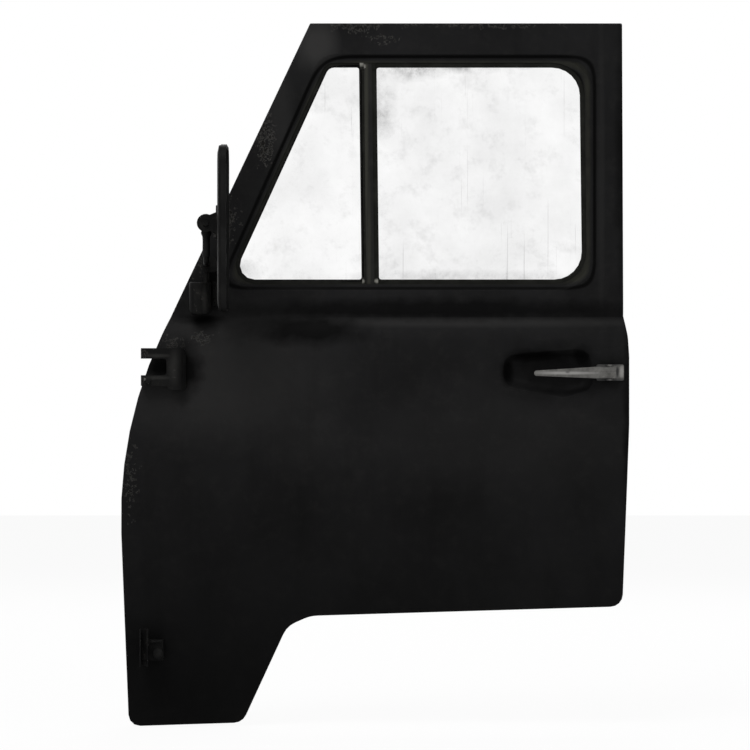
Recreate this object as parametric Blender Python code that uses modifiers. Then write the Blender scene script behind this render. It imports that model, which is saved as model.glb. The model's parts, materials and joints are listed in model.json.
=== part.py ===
"""Front cab door of a forward-control van, with its hinges, mirror, windows, winder and lock.

Metres. X runs to the rear of the van, Y into the cab and Z up. The origin lies on the axis of the hinge
pins, level with the middle of the upper hinge. Outlines are lists of corners (x, z, radius, steps),
counter-clockwise as seen from outside.
"""

import math

import bmesh
import bpy
from mathutils import Matrix, Vector

MM = 0.001

# General
SHEET = 1.2 * MM
CLEAR = 0.3 * MM
LEAST_RADIUS = 0.6 * MM

# Door outline, as seen from outside
DOOR_TOP = 655 * MM
PILLAR_TOP_X = 311.5 * MM
REAR_TOP_X = 906 * MM
REAR_BELT_X = 908.3 * MM
REAR_X = 918.4 * MM
SILL_REAR = (906.5 * MM, -456.3 * MM)
SILL_FRONT = (312 * MM, -474.3 * MM)
ARCH_CORNER = (267.5 * MM, -494 * MM)
TOE_REAR = (182 * MM, -679.3 * MM)
TOE_FRONT = (-35.3 * MM, -686.3 * MM)
NOSE = (-54.4 * MM, -116.4 * MM)
NOSE_RADIUS = 820 * MM

# Section of the outer skin
BELT = 95 * MM
COVE_TOP = 115 * MM
COVE_DEPTH = 3 * MM
FRAME_Y = 34 * MM
BODY_Y = 13 * MM
SHOULDER_FOOT = 20 * MM
TUCK_START = -120 * MM
TUCK_DEPTH = 47 * MM
TUCK_POWER = 1.6
HEM_RADIUS = 2.5 * MM
HEM_DEPTH = 10 * MM
HEM_GAP = 1.2 * MM

# Section of the inner panel
INNER_FRAME_Y = 66 * MM
INNER_BODY_Y = 84 * MM
INNER_STEP_TOP = 142 * MM
INNER_STEP_FOOT = 118 * MM
FLANGE = 12 * MM
JAMB_INSET = 14 * MM

# Windows: the clear openings inside the rubber
GLASS_TOP = 571.7 * MM
GLASS_SILL = 167 * MM
WINDOW_MIDDLE = 368 * MM
RAKE = math.radians(0.7)
VENT_REAR_X = 407 * MM
MAIN_FRONT_X = 440.5 * MM
MAIN_REAR_X = 828 * MM
VENT_TOP_X = 347 * MM
VENT_FOOT_X = 161.7 * MM
MAIN_RADIUS = 53 * MM
VENT_TOP_RADIUS = 16 * MM
VENT_FOOT_RADIUS = 28 * MM
CREASE = ((859.5 * MM, 144 * MM), (859.5 * MM, 597.6 * MM), (331 * MM, 597.6 * MM), (127.7 * MM, 144 * MM))
CREASE_RADII = (80 * MM, 80 * MM, 44 * MM, 50 * MM)
CREASE_STEPS = (6, 6, 4, 4)
RECESS_DEPTH = 6 * MM
RUBBER = 8.5 * MM
RUBBER_GRIP = 11 * MM
RUN_WALL = 1.8 * MM
SEAL_SPLIT = 8.3 * MM
GLASS_Y = 50 * MM
GLASS_THICK = 4 * MM
GLASS_SIDE_GAP = 0.6 * MM
GLASS_HOLD = 5 * MM
WINDOW_FLANGE_Y = 57.6 * MM
RUN_FOOT = -300 * MM

# Vent window
SASH = 3.5 * MM
SASH_GAP = 1.3 * MM
SASH_THICK = 9.6 * MM
SASH_GROOVE = 2.1 * MM
VENT_AXIS_X = 372 * MM
PIVOT_RADIUS = 3 * MM
LIP = 2.2 * MM
LIP_THICK = 1.7 * MM

# Handle dish
DISH = (
    (677 * MM, 24 * MM, 25 * MM),
    (677 * MM, -38 * MM, 25 * MM),
    (795 * MM, -60 * MM, 45 * MM),
    (853 * MM, -44 * MM, 28 * MM),
    (845 * MM, 37 * MM, 28 * MM),
    (757 * MM, 31 * MM, 60 * MM),
)
DISH_STEPS = ((0, 0), (2.5 * MM, 1.5 * MM), (8 * MM, 10 * MM), (15 * MM, 18 * MM), (24 * MM, 21 * MM))

# Outside handle
HANDLE_PIN = (880 * MM, 3 * MM)
HANDLE_PIN_RADIUS = 2.5 * MM
HANDLE_Z = -12 * MM
HANDLE_TIP_X = 737 * MM
HANDLE_END_X = 892 * MM
BASE_X = (856 * MM, 908 * MM)
BASE_Z = (-26 * MM, 5 * MM)
BASE_THICK = 2.5 * MM
LUG_THICK = 3.5 * MM

# Upper hinge
EAR_RADIUS = 9.1 * MM
EAR_TOP = (15.8 * MM, 35.7 * MM)
EAR_FOOT = (-35.9 * MM, -15.6 * MM)
LEG_X = (40 * MM, 76 * MM)
LEG_FOOT = -44 * MM
PIN_BORE = 4.2 * MM
HINGE_BOLT_X = 58 * MM
HINGE_BOLT_Z = (20 * MM, -26 * MM)
BOLT_RADIUS = 4 * MM
BOLT_HEAD = 7 * MM
PLATE_GAP = 0.8 * MM
PLATE_THICK = 3 * MM

# Lower hinge
CHANNEL_X = (-10.8 * MM, 5.2 * MM)
CHANNEL_Z = (-568 * MM, -497 * MM)
CHANNEL_Y = (-12 * MM, 10 * MM)
CHANNEL_WALL = 3 * MM
ARM_X = 33 * MM
ARM_Z = (-557 * MM, -519 * MM)
PLATE_X = (-14 * MM, 62 * MM)
PLATE_Z = (ARM_Z[0] - 33 * MM, ARM_Z[1] + 19 * MM)
BOSS = (23.4 * MM, -544 * MM)
BOSS_RADIUS = 10 * MM

# Mirror
BARREL_X = 103 * MM
BARREL_RADIUS = 21 * MM
BARREL_Z = (99 * MM, 161 * MM)
ARM_AXIS = (115 * MM, 8 * MM)
ARM_RADIUS = 5.5 * MM
ARM_HEIGHT = 196 * MM
ARM_FOOT = BARREL_Z[0] + 13 * MM
ELBOW_Z = (ARM_HEIGHT - 16 * MM, ARM_HEIGHT + 15 * MM)
ARM_REACH = 108 * MM
STEM_X = 119 * MM
KNUCKLE_Z = 269 * MM
KNUCKLE_RADIUS = 14 * MM
KNUCKLE_HALF = 15 * MM
LUG_RADIUS = 17 * MM
CLAMP_X = (138 * MM, 142 * MM)
CLAMP_Z = (238 * MM, 302 * MM)
MIRROR_X = (142.3 * MM, 159 * MM)
MIRROR_Z = (103 * MM, 414 * MM)
MIRROR_WIDTH = 176 * MM
MIRROR_RADIUS = 34 * MM
MIRROR_RIM = 5 * MM
RIM_X = MIRROR_X[1] - 10.2 * MM
PANE_X = (RIM_X + 1 * MM, RIM_X + 4 * MM)
STRAP_X = (125 * MM, 136 * MM)

# Winder
ARM_PIVOT = (330 * MM, -88.5 * MM)
ARM_LENGTH = 330 * MM
GLASS_TRAVEL = 385 * MM
MODULE = 2 * MM
PINION_TEETH = 8
SECTOR_TEETH = 126
SECTOR_SPARE = math.radians(7)
ARM_Y = (68 * MM, 71 * MM)
ROLLER_RADIUS = 7 * MM
ROLLER_SLOT = 25 * MM
LIFT_X = (478 * MM, 800 * MM)
LIFT_TOP = 146 * MM
SLOT_X = (570 * MM, 684 * MM)
PLATE_Y = (75.5 * MM, 77.5 * MM)
SHAFT_RADIUS = 5 * MM
CRANK_LENGTH = 95 * MM
CRANK_ANGLE = math.radians(120)

# Lock
LATCH_X = 868 * MM
LATCH_Z = (-80 * MM, 30 * MM)
LATCH_Y = (46 * MM, 79.6 * MM)
ROTOR_PLACE = (58 * MM, -20 * MM)
ROTOR_RADIUS = 20 * MM
SPINDLE = (760 * MM, -60 * MM)
SPINDLE_RADIUS = 5 * MM
ROD_ARM = 22 * MM
ROD_Y = (75.5 * MM, 78 * MM)

# Access opening
HATCH_X = (455 * MM, 775 * MM)
HATCH_Z = (-412 * MM, -305 * MM)
HATCH_LAP = 16 * MM

PART = bpy.data.collections.new("cab_door")
CUTTERS = bpy.data.collections.new("cutters")
FRAMES = {
    "X": Matrix(((0, 0, 1), (1, 0, 0), (0, 1, 0))).to_4x4(),
    "Y": Matrix(((1, 0, 0), (0, 0, -1), (0, 1, 0))).to_4x4(),
    "Z": Matrix.Identity(4),
}


# Helpers for materials and objects


def material(name, colour, roughness, metallic=0.0):
    made = bpy.data.materials.new(name)
    made.use_nodes = True
    shader = made.node_tree.nodes["Principled BSDF"]
    shader.inputs["Base Color"].default_value = (*colour, 1.0)
    shader.inputs["Roughness"].default_value = roughness
    shader.inputs["Metallic"].default_value = metallic
    made.diffuse_color = (*colour, 1.0)
    return made


def place(name, mesh, finish, home=None):
    """A new object of this mesh, in the part's collection or among the cutters."""
    obj = bpy.data.objects.new(name, mesh)
    (home or PART).objects.link(obj)
    if finish:
        mesh.materials.clear()
        mesh.materials.append(finish)
    if home is CUTTERS:
        obj.hide_render = True
        obj.display_type = "WIRE"
    return obj


def smooth(obj, angle=35):
    obj.data.shade_smooth()
    obj.data.set_sharp_from_angle(angle=math.radians(angle))
    return obj


def bevel(obj, width, segments=2, angle=40):
    modifier = obj.modifiers.new("edge", "BEVEL")
    modifier.width = width
    modifier.segments = segments
    modifier.limit_method = "ANGLE"
    modifier.angle_limit = math.radians(angle)
    modifier.harden_normals = False
    return obj


def combine(target, other, operation):
    modifier = target.modifiers.new(other.name, "BOOLEAN")
    modifier.operation = operation
    modifier.solver = "EXACT"
    modifier.object = other
    if other.name not in CUTTERS.objects:
        PART.objects.unlink(other)
        CUTTERS.objects.link(other)
    other.hide_render = True
    other.display_type = "WIRE"
    return target


def cut(target, other):
    return combine(target, other, "DIFFERENCE")


def join(target, other):
    return combine(target, other, "UNION")


def hang(obj, pivot):
    """Parents a moving piece to the empty on its joint's axis, where it stands."""
    obj.parent = pivot
    obj.matrix_parent_inverse = Matrix.Translation(-pivot.location)
    return obj


def pivot_at(name, x, y, z):
    empty = bpy.data.objects.new(name, None)
    empty.location = (x, y, z)
    empty.empty_display_size = 0.03
    PART.objects.link(empty)
    return empty


# Helpers for outlines


def moved_corners(corners, insets):
    """The corners with each side moved inwards; insets is one value, or one for each corner's next side."""
    count = len(corners)
    if not isinstance(insets, (list, tuple)):
        insets = [insets] * count
    moved = []
    for i, (x, z, radius, steps) in enumerate(corners):
        into = Vector((x, z)) - Vector(corners[i - 1][:2])
        out = Vector(corners[(i + 1) % count][:2]) - Vector((x, z))
        into.normalize()
        out.normalize()
        first = Vector((-into.y, into.x))
        second = Vector((-out.y, out.x))
        before = insets[i - 1]
        after = insets[i]
        cosine = first.dot(second)
        if before == after:
            shift = (first + second) * before / (1 + cosine)
        else:
            shift = (first * (before - after * cosine) + second * (after - before * cosine)) / (
                1 - cosine**2
            )
        turn = into.x * out.y - into.y * out.x
        grown = radius - max(before, after) if turn > 0 else radius + max(before, after)
        moved.append((x + shift.x, z + shift.y, max(grown, LEAST_RADIUS), steps))
    return moved


def rounded(corners, inset=0.0, least=LEAST_RADIUS):
    """Points (x, z) of the outline with an arc at each corner."""
    if inset:
        corners = moved_corners(corners, inset)
    count = len(corners)
    points = []
    for i, (x, z, radius, steps) in enumerate(corners):
        here = Vector((x, z))
        back = (Vector(corners[i - 1][:2]) - here).normalized()
        ahead = (Vector(corners[(i + 1) % count][:2]) - here).normalized()
        turn = math.pi - back.angle(ahead)
        radius = max(radius, least)
        reach = radius * math.tan(turn / 2)
        centre = here + (back + ahead).normalized() * radius / math.cos(turn / 2)
        start = here + back * reach - centre
        end = here + ahead * reach - centre
        first = math.atan2(start.y, start.x)
        sweep = math.remainder(math.atan2(end.y, end.x) - first, 2 * math.pi)
        for step in range(steps + 1):
            angle = first + sweep * step / steps
            points.append((centre.x + radius * math.cos(angle), centre.y + radius * math.sin(angle)))
    return points


def box_corners(left, right, foot, top, radius, steps=4):
    return [
        (right, foot, radius, steps),
        (right, top, radius, steps),
        (left, top, radius, steps),
        (left, foot, radius, steps),
    ]


def circle(x, z, radius, sides=16):
    return [
        (x + radius * math.cos(2 * math.pi * k / sides), z + radius * math.sin(2 * math.pi * k / sides))
        for k in range(sides)
    ]


def raked(x, z):
    """Where a line of the windows that stands at x at mid-height lies at height z."""
    return x - (z - WINDOW_MIDDLE) * math.tan(RAKE)


# Helpers for solids


def slab(name, loops, low, high, finish=None, axis="Y", home=None):
    """A flat outline with holes, given thickness along an axis."""
    curve = bpy.data.curves.new(name, "CURVE")
    curve.dimensions = "2D"
    curve.fill_mode = "BOTH"
    curve.extrude = (high - low) / 2
    for loop in loops:
        spline = curve.splines.new("POLY")
        spline.points.add(len(loop) - 1)
        for point, (u, v) in zip(spline.points, loop):
            point.co = (u, v, 0, 1)
        spline.use_cyclic_u = True
    guide = bpy.data.objects.new(name, curve)
    bpy.context.scene.collection.objects.link(guide)
    bpy.context.view_layer.update()
    evaluated = guide.evaluated_get(bpy.context.evaluated_depsgraph_get())
    mesh = bpy.data.meshes.new_from_object(evaluated)
    bpy.data.objects.remove(guide)
    bpy.data.curves.remove(curve)
    middle = (low + high) / 2
    shift = {"X": (middle, 0, 0), "Y": (0, middle, 0), "Z": (0, 0, middle)}[axis]
    mesh.transform(Matrix.Translation(shift) @ FRAMES[axis])
    made = bmesh.new()
    made.from_mesh(mesh)
    bmesh.ops.remove_doubles(made, verts=made.verts, dist=1e-6)
    bmesh.ops.recalc_face_normals(made, faces=made.faces)
    made.to_mesh(mesh)
    made.free()
    return place(name, mesh, finish, home)


def block(name, x, y, z, finish=None, home=None):
    made = bmesh.new()
    bmesh.ops.create_cube(made, size=1)
    size = (x[1] - x[0], y[1] - y[0], z[1] - z[0])
    centre = ((x[0] + x[1]) / 2, (y[0] + y[1]) / 2, (z[0] + z[1]) / 2)
    bmesh.ops.scale(made, vec=size, verts=made.verts)
    bmesh.ops.translate(made, vec=centre, verts=made.verts)
    mesh = bpy.data.meshes.new(name)
    made.to_mesh(mesh)
    made.free()
    return place(name, mesh, finish, home)


def rod(name, start, end, radius, finish=None, home=None, sides=14, end_radius=None):
    """A round bar, or a cone, between two points."""
    start = Vector(start)
    end = Vector(end)
    made = bmesh.new()
    bmesh.ops.create_cone(
        made,
        cap_ends=True,
        segments=sides,
        radius1=radius,
        radius2=radius if end_radius is None else end_radius,
        depth=(end - start).length,
    )
    turn = Vector((0, 0, 1)).rotation_difference(end - start).to_matrix().to_4x4()
    bmesh.ops.transform(made, matrix=Matrix.Translation((start + end) / 2) @ turn, verts=made.verts)
    mesh = bpy.data.meshes.new(name)
    made.to_mesh(mesh)
    made.free()
    return smooth(place(name, mesh, finish, home))


def turned(name, profile, origin, axis, finish, steps=16):
    """A turned piece: profile points (radius, height) run down its outer side from the top."""
    made = bmesh.new()
    points = [made.verts.new((radius, 0, height)) for radius, height in profile]
    for first, second in zip(points, points[1:]):
        made.edges.new((first, second))
    mesh = bpy.data.meshes.new(name)
    made.to_mesh(mesh)
    made.free()
    obj = place(name, mesh, finish)
    screw = obj.modifiers.new("turn", "SCREW")
    screw.steps = steps
    screw.render_steps = steps
    screw.use_merge_vertices = True
    screw.merge_threshold = 1e-6
    screw.use_smooth_shade = True
    obj.location = origin
    obj.rotation_euler = {"X": (0, math.pi / 2, 0), "Y": (-math.pi / 2, 0, 0), "Z": (0, 0, 0)}[axis]
    return obj


def screw_of(name, x, z, seat, finish, head=4.5 * MM, height=2.4 * MM, shank=2.2 * MM, depth=9 * MM, out=1):
    """A pan-head screw along Y; seat is the face under its head and out the way the head stands."""
    profile = [
        (0, height),
        (head * 0.7, height),
        (head, 0),
        (shank, 0),
        (shank, -depth),
        (0, -depth),
    ]
    made = turned(name, profile, (x, seat, z), "Y", finish, steps=8)
    if out < 0:
        made.rotation_euler.x = math.pi / 2
    return made


def add_loop(made, points, y):
    return [made.verts.new((x, y, z)) for x, z in points]


def bridge(made, outer, inner):
    count = len(outer)
    for i in range(count):
        j = (i + 1) % count
        made.faces.new((outer[i], outer[j], inner[j], inner[i]))


def fill_between(made, loops):
    edges = []
    for loop in loops:
        for i, vertex in enumerate(loop):
            pair = (loop[i - 1], vertex)
            edges.append(made.edges.get(pair) or made.edges.new(pair))
    bmesh.ops.triangle_fill(made, use_beauty=True, use_dissolve=False, edges=edges, normal=(0, -1, 0))


def cut_rows(made, heights):
    """Cuts level lines that stay as seams, and merges the flat faces between them."""
    for height in heights:
        everything = made.verts[:] + made.edges[:] + made.faces[:]
        cut_at = bmesh.ops.bisect_plane(
            made, geom=everything, dist=1e-6, plane_co=(0, 0, height), plane_no=(0, 0, 1)
        )
        for piece in cut_at["geom_cut"]:
            if isinstance(piece, bmesh.types.BMEdge):
                piece.seam = True
    bmesh.ops.dissolve_limit(
        made,
        angle_limit=math.radians(0.03),
        verts=made.verts,
        edges=made.edges,
        delimit={"SEAM"},
    )
    bmesh.ops.triangulate(made, faces=[face for face in made.faces if len(face.verts) > 4])


def sheet(name, made, thickness, finish, outside):
    """An open surface given sheet thickness on the side away from outside, a Y direction."""
    bmesh.ops.recalc_face_normals(made, faces=made.faces)
    largest = max(made.faces, key=lambda face: face.calc_area())
    if largest.normal.y * outside < 0:
        bmesh.ops.reverse_faces(made, faces=made.faces)
    mesh = bpy.data.meshes.new(name)
    made.to_mesh(mesh)
    made.free()
    obj = place(name, mesh, finish)
    modifier = obj.modifiers.new("sheet", "SOLIDIFY")
    modifier.thickness = thickness
    modifier.offset = -1
    modifier.use_even_offset = True
    return smooth(obj)


# Sections and outlines of the door


def skin_curve(z):
    """The drawn section of the skin: a flat frame, a cove, a round shoulder and a tucked-under body."""
    if z >= COVE_TOP:
        return FRAME_Y
    if z >= BELT:
        return FRAME_Y + COVE_DEPTH * (1 - (z - BELT) / (COVE_TOP - BELT)) ** 2
    if z > SHOULDER_FOOT:
        return BODY_Y + (FRAME_Y + COVE_DEPTH - BODY_Y) * ((z - SHOULDER_FOOT) / (BELT - SHOULDER_FOOT)) ** 3
    if z > TUCK_START:
        return BODY_Y
    return BODY_Y + TUCK_DEPTH * ((TUCK_START - z) / (TUCK_START - TOE_FRONT[1])) ** TUCK_POWER


def skin_rows():
    """Heights at which the skin's section is folded, from the top down."""
    shoulder = [BELT - drop * MM for drop in (0, 7, 17, 29, 45)]
    tuck = [TUCK_START - 105 * MM * step for step in range(6)]
    return [COVE_TOP, BELT + 8 * MM, *shoulder, SHOULDER_FOOT, *tuck]


def skin_y(z):
    """The outer face of the skin at height z, straight between its rows."""
    rows = skin_rows()
    if z >= rows[0]:
        return skin_curve(z)
    for upper, lower in zip(rows, rows[1:]):
        if z >= lower:
            share = (z - lower) / (upper - lower)
            return skin_curve(lower) + share * (skin_curve(upper) - skin_curve(lower))
    return skin_curve(rows[-1])


def inner_y(z):
    """The cab side of the inner panel at height z."""
    share = (z - INNER_STEP_FOOT) / (INNER_STEP_TOP - INNER_STEP_FOOT)
    share = min(max(share, 0), 1)
    return INNER_BODY_Y + (INNER_FRAME_Y - INNER_BODY_Y) * share


def flange_y(z):
    """The cab side of the inner panel's flange, which lies square on the end of the skin's hem."""
    return skin_y(z) + HEM_DEPTH + HEM_GAP + SHEET


def door_outline():
    return [
        (*SILL_REAR, 24 * MM, 4),
        (REAR_X, -110 * MM, 100 * MM, 2),
        (REAR_X, 20 * MM, 60 * MM, 1),
        (916 * MM, 58 * MM, 60 * MM, 1),
        (REAR_BELT_X, BELT + 2 * MM, 4 * MM, 2),
        (REAR_TOP_X, DOOR_TOP, 3 * MM, 2),
        (PILLAR_TOP_X, DOOR_TOP, 3 * MM, 2),
        (*NOSE, NOSE_RADIUS, 6),
        (*TOE_FRONT, 22 * MM, 3),
        (*TOE_REAR, 26 * MM, 3),
        (*ARCH_CORNER, 45 * MM, 3),
        (*SILL_FRONT, 70 * MM, 3),
    ]


def day_opening():
    """The clear opening of both windows together."""
    return [
        (raked(MAIN_REAR_X, GLASS_SILL), GLASS_SILL, MAIN_RADIUS, 6),
        (raked(MAIN_REAR_X, GLASS_TOP), GLASS_TOP, MAIN_RADIUS, 6),
        (VENT_TOP_X, GLASS_TOP, VENT_TOP_RADIUS, 4),
        (VENT_FOOT_X, GLASS_SILL, VENT_FOOT_RADIUS, 4),
    ]


def vent_opening():
    return [
        (raked(VENT_REAR_X, GLASS_SILL), GLASS_SILL, 4 * MM, 2),
        (raked(VENT_REAR_X, GLASS_TOP), GLASS_TOP, 4 * MM, 2),
        (VENT_TOP_X, GLASS_TOP, VENT_TOP_RADIUS, 4),
        (VENT_FOOT_X, GLASS_SILL, VENT_FOOT_RADIUS, 4),
    ]


def main_opening():
    return [
        (raked(MAIN_REAR_X, GLASS_SILL), GLASS_SILL, MAIN_RADIUS, 6),
        (raked(MAIN_REAR_X, GLASS_TOP), GLASS_TOP, MAIN_RADIUS, 6),
        (raked(MAIN_FRONT_X, GLASS_TOP), GLASS_TOP, 4 * MM, 2),
        (raked(MAIN_FRONT_X, GLASS_SILL), GLASS_SILL, 4 * MM, 2),
    ]


# Outer skin and inner panel


def build_outer_skin(paint):
    outline = door_outline()
    made = bmesh.new()
    hem = [add_loop(made, rounded(outline), HEM_DEPTH)]
    hem.append(add_loop(made, rounded(outline), HEM_RADIUS))
    hem.append(add_loop(made, rounded(outline, 0.3 * HEM_RADIUS), 0.3 * HEM_RADIUS))
    hem.append(add_loop(made, rounded(outline, HEM_RADIUS), 0))
    for outer, inner in zip(hem, hem[1:]):
        bridge(made, outer, inner)
    crease = [
        (x, z, radius, steps) for (x, z), radius, steps in zip(CREASE, CREASE_RADII, CREASE_STEPS)
    ]
    recess = [add_loop(made, rounded(crease), 0)]
    recess.append(add_loop(made, rounded(crease, 3 * MM), 0.15 * RECESS_DEPTH))
    recess.append(add_loop(made, rounded(crease, 8 * MM), 0.85 * RECESS_DEPTH))
    recess.append(add_loop(made, rounded(crease, 11 * MM), RECESS_DEPTH))
    recess.append(add_loop(made, rounded(day_opening(), -RUBBER), RECESS_DEPTH))
    for outer, inner in zip(recess, recess[1:]):
        bridge(made, outer, inner)
    rim = [(x, z, radius, 3) for x, z, radius in DISH]
    dish = [add_loop(made, rounded(rim, inset), depth) for inset, depth in DISH_STEPS]
    for outer, inner in zip(dish, dish[1:]):
        bridge(made, outer, inner)
    fill_between(made, [dish[-1]])
    fill_between(made, [hem[-1], recess[0], dish[0]])
    cut_rows(made, skin_rows())
    for vertex in made.verts:
        vertex.co.y += skin_y(vertex.co.z)
    return sheet("outer_skin", made, SHEET, paint, -1)


def build_inner_panel(paint):
    """w runs from 0 on the flange to 1 on the inner face, and is carried in Y until the end."""
    outline = door_outline()
    made = bmesh.new()
    wall = []
    steps = ((0.6 * MM, 0), (FLANGE, 0), (JAMB_INSET, 0.08), (JAMB_INSET + 0.6 * MM, 0.9), (18 * MM, 1))
    for inset, share in steps:
        wall.append(add_loop(made, rounded(outline, inset), share))
    for outer, inner in zip(wall, wall[1:]):
        bridge(made, outer, inner)
    depth = INNER_FRAME_Y - flange_y(DOOR_TOP)
    seat = 1 - (INNER_FRAME_Y - WINDOW_FLANGE_Y - SHEET) / depth
    window = []
    for inset, share in ((20 * MM, 1), (17 * MM, 0.9), (15 * MM, seat), (RUBBER, seat)):
        window.append(add_loop(made, rounded(day_opening(), -inset), share))
    for outer, inner in zip(window, window[1:]):
        bridge(made, outer, inner)
    holes = [window[0], add_loop(made, rounded(box_corners(*HATCH_X, *HATCH_Z, 18 * MM, 3)), 1)]
    beads = (
        box_corners(20 * MM, 150 * MM, -620 * MM, -596 * MM, 11.5 * MM, 3),
        box_corners(470 * MM, 700 * MM, -180 * MM, -156 * MM, 11.5 * MM, 3),
    )
    for bead in beads:
        foot = add_loop(made, rounded(bead), 1)
        top = add_loop(made, rounded(bead, 6 * MM), 1.06)
        bridge(made, foot, top)
        fill_between(made, [top])
        holes.append(foot)
    fill_between(made, [wall[-1], *holes])
    cut_rows(made, [INNER_STEP_TOP, INNER_STEP_FOOT, *skin_rows()])
    for vertex in made.verts:
        share = vertex.co.y
        height = vertex.co.z
        vertex.co.y = (1 - share) * flange_y(height) + share * inner_y(height)
    panel = sheet("inner_panel", made, SHEET, paint, 1)
    cutters = [
        rod(
            "crank_hole", offset_point(PINION, 60 * MM), offset_point(PINION, 95 * MM), 8 * MM, home=CUTTERS
        ),
        rod(
            "spindle_hole",
            offset_point(SPINDLE, 60 * MM),
            offset_point(SPINDLE, 95 * MM),
            7 * MM,
            home=CUTTERS,
        ),
        rod("rotor_hole", (890 * MM, *ROTOR_PLACE), (912 * MM, *ROTOR_PLACE), 8 * MM, home=CUTTERS),
    ]
    for k, (x, z) in enumerate(cover_screw_places() + regulator_screw_places()):
        cutters.append(
            rod(f"panel_hole_{k}", (x, 78 * MM, z), (x, 88 * MM, z), 2.6 * MM, home=CUTTERS, sides=8)
        )
    for k, (y, z) in enumerate(LATCH_SCREWS):
        cutters.append(
            rod(f"jamb_hole_{k}", (890 * MM, y, z), (912 * MM, y, z), 2.7 * MM, home=CUTTERS, sides=8)
        )
    for cutter in cutters:
        cut(panel, cutter)
    return panel


def offset_point(place_xz, y):
    return (place_xz[0], y, place_xz[1])


def build_door_seal(rubber):
    """A bulb strip all round the flange of the inner panel."""
    outline = door_outline()
    section = ((3 * MM, CLEAR), (11 * MM, CLEAR), (10 * MM, 7 * MM), (4.5 * MM, 7 * MM))
    made = bmesh.new()
    loops = [add_loop(made, rounded(outline, inset), rise) for inset, rise in section]
    for first, second in zip(loops, loops[1:] + loops[:1]):
        bridge(made, first, second)
    cut_rows(made, skin_rows())
    for vertex in made.verts:
        vertex.co.y += flange_y(vertex.co.z)
    bmesh.ops.recalc_face_normals(made, faces=made.faces)
    mesh = bpy.data.meshes.new("door_seal")
    made.to_mesh(mesh)
    made.free()
    return smooth(place("door_seal", mesh, rubber), 50)


# Windows


def build_vent_seal(rubber):
    """A ring round the vent, with a lip outside its front part and inside its rear part."""
    opening = vent_opening()
    low = FRAME_Y + RECESS_DEPTH + SHEET + CLEAR
    high = WINDOW_FLANGE_Y - CLEAR
    inner = -(SASH + SASH_GAP)
    grip = [-(SEAL_SPLIT - CLEAR), -RUBBER_GRIP, -RUBBER_GRIP, -RUBBER_GRIP]
    seal = slab("vent_window_seal", [rounded(opening, grip), rounded(opening, inner)], low, high, rubber)
    lip = [rounded(opening, inner - 0.8 * MM), rounded(opening, inner + LIP)]
    halves = (
        ("front_lip", low, low + LIP_THICK, (VENT_AXIS_X - 0.3, VENT_AXIS_X - 6 * MM)),
        ("rear_lip", high - LIP_THICK, high, (VENT_AXIS_X + 6 * MM, VENT_AXIS_X + 0.1)),
    )
    for name, bottom, top, reach in halves:
        ring = slab(name, lip, bottom, top)
        side = block(name + "_side", reach, (0, 0.1), (0.1, 0.7), home=CUTTERS)
        combine(ring, side, "INTERSECT")
        join(seal, ring)
    for name, start, end in (("vent_hole_foot", 140, 170), ("vent_hole_top", 568, 592)):
        cut(
            seal,
            rod(
                name,
                axis_point(start * MM),
                axis_point(end * MM),
                PIVOT_RADIUS + 0.4 * MM,
                home=CUTTERS,
                sides=12,
            ),
        )
    return seal


def axis_point(z):
    return (raked(VENT_AXIS_X, z), GLASS_Y, z)


def build_vent(steel, glass, pivot):
    opening = vent_opening()
    half = SASH_THICK / 2
    sash = slab(
        "vent_sash", [rounded(opening, -SASH), rounded(opening)], GLASS_Y - half, GLASS_Y + half, steel
    )
    groove = slab(
        "sash_groove",
        [rounded(opening, -SASH_GROOVE), rounded(opening, 3 * MM)],
        GLASS_Y - GLASS_THICK / 2 - CLEAR,
        GLASS_Y + GLASS_THICK / 2 + CLEAR,
        home=CUTTERS,
    )
    cut(sash, groove)
    into = SASH_GROOVE + 0.5 * MM
    foot = rod("vent_pin_foot", axis_point(150 * MM), axis_point(GLASS_SILL - into), PIVOT_RADIUS, sides=12)
    top = rod("vent_pin_top", axis_point(GLASS_TOP + into), axis_point(583 * MM), PIVOT_RADIUS, sides=12)
    join(sash, foot)
    join(sash, top)
    pane = slab(
        "vent_glass",
        [rounded(opening, -SASH_GROOVE + CLEAR)],
        GLASS_Y - GLASS_THICK / 2,
        GLASS_Y + GLASS_THICK / 2,
        glass,
    )
    hang(sash, pivot)
    hang(pane, pivot)


def build_vent_bracket(steel):
    high = WINDOW_FLANGE_Y - CLEAR
    top = GLASS_SILL - RUBBER_GRIP - CLEAR
    bracket = block(
        "vent_pivot_bracket", (364 * MM, 388 * MM), (43 * MM, high), (top - 20 * MM, top), steel
    )
    cut(
        bracket,
        rod(
            "bracket_bore",
            axis_point(148 * MM),
            axis_point(170 * MM),
            PIVOT_RADIUS + 0.3 * MM,
            home=CUTTERS,
            sides=12,
        ),
    )
    return bevel(bracket, 1.5 * MM, 1)


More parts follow.
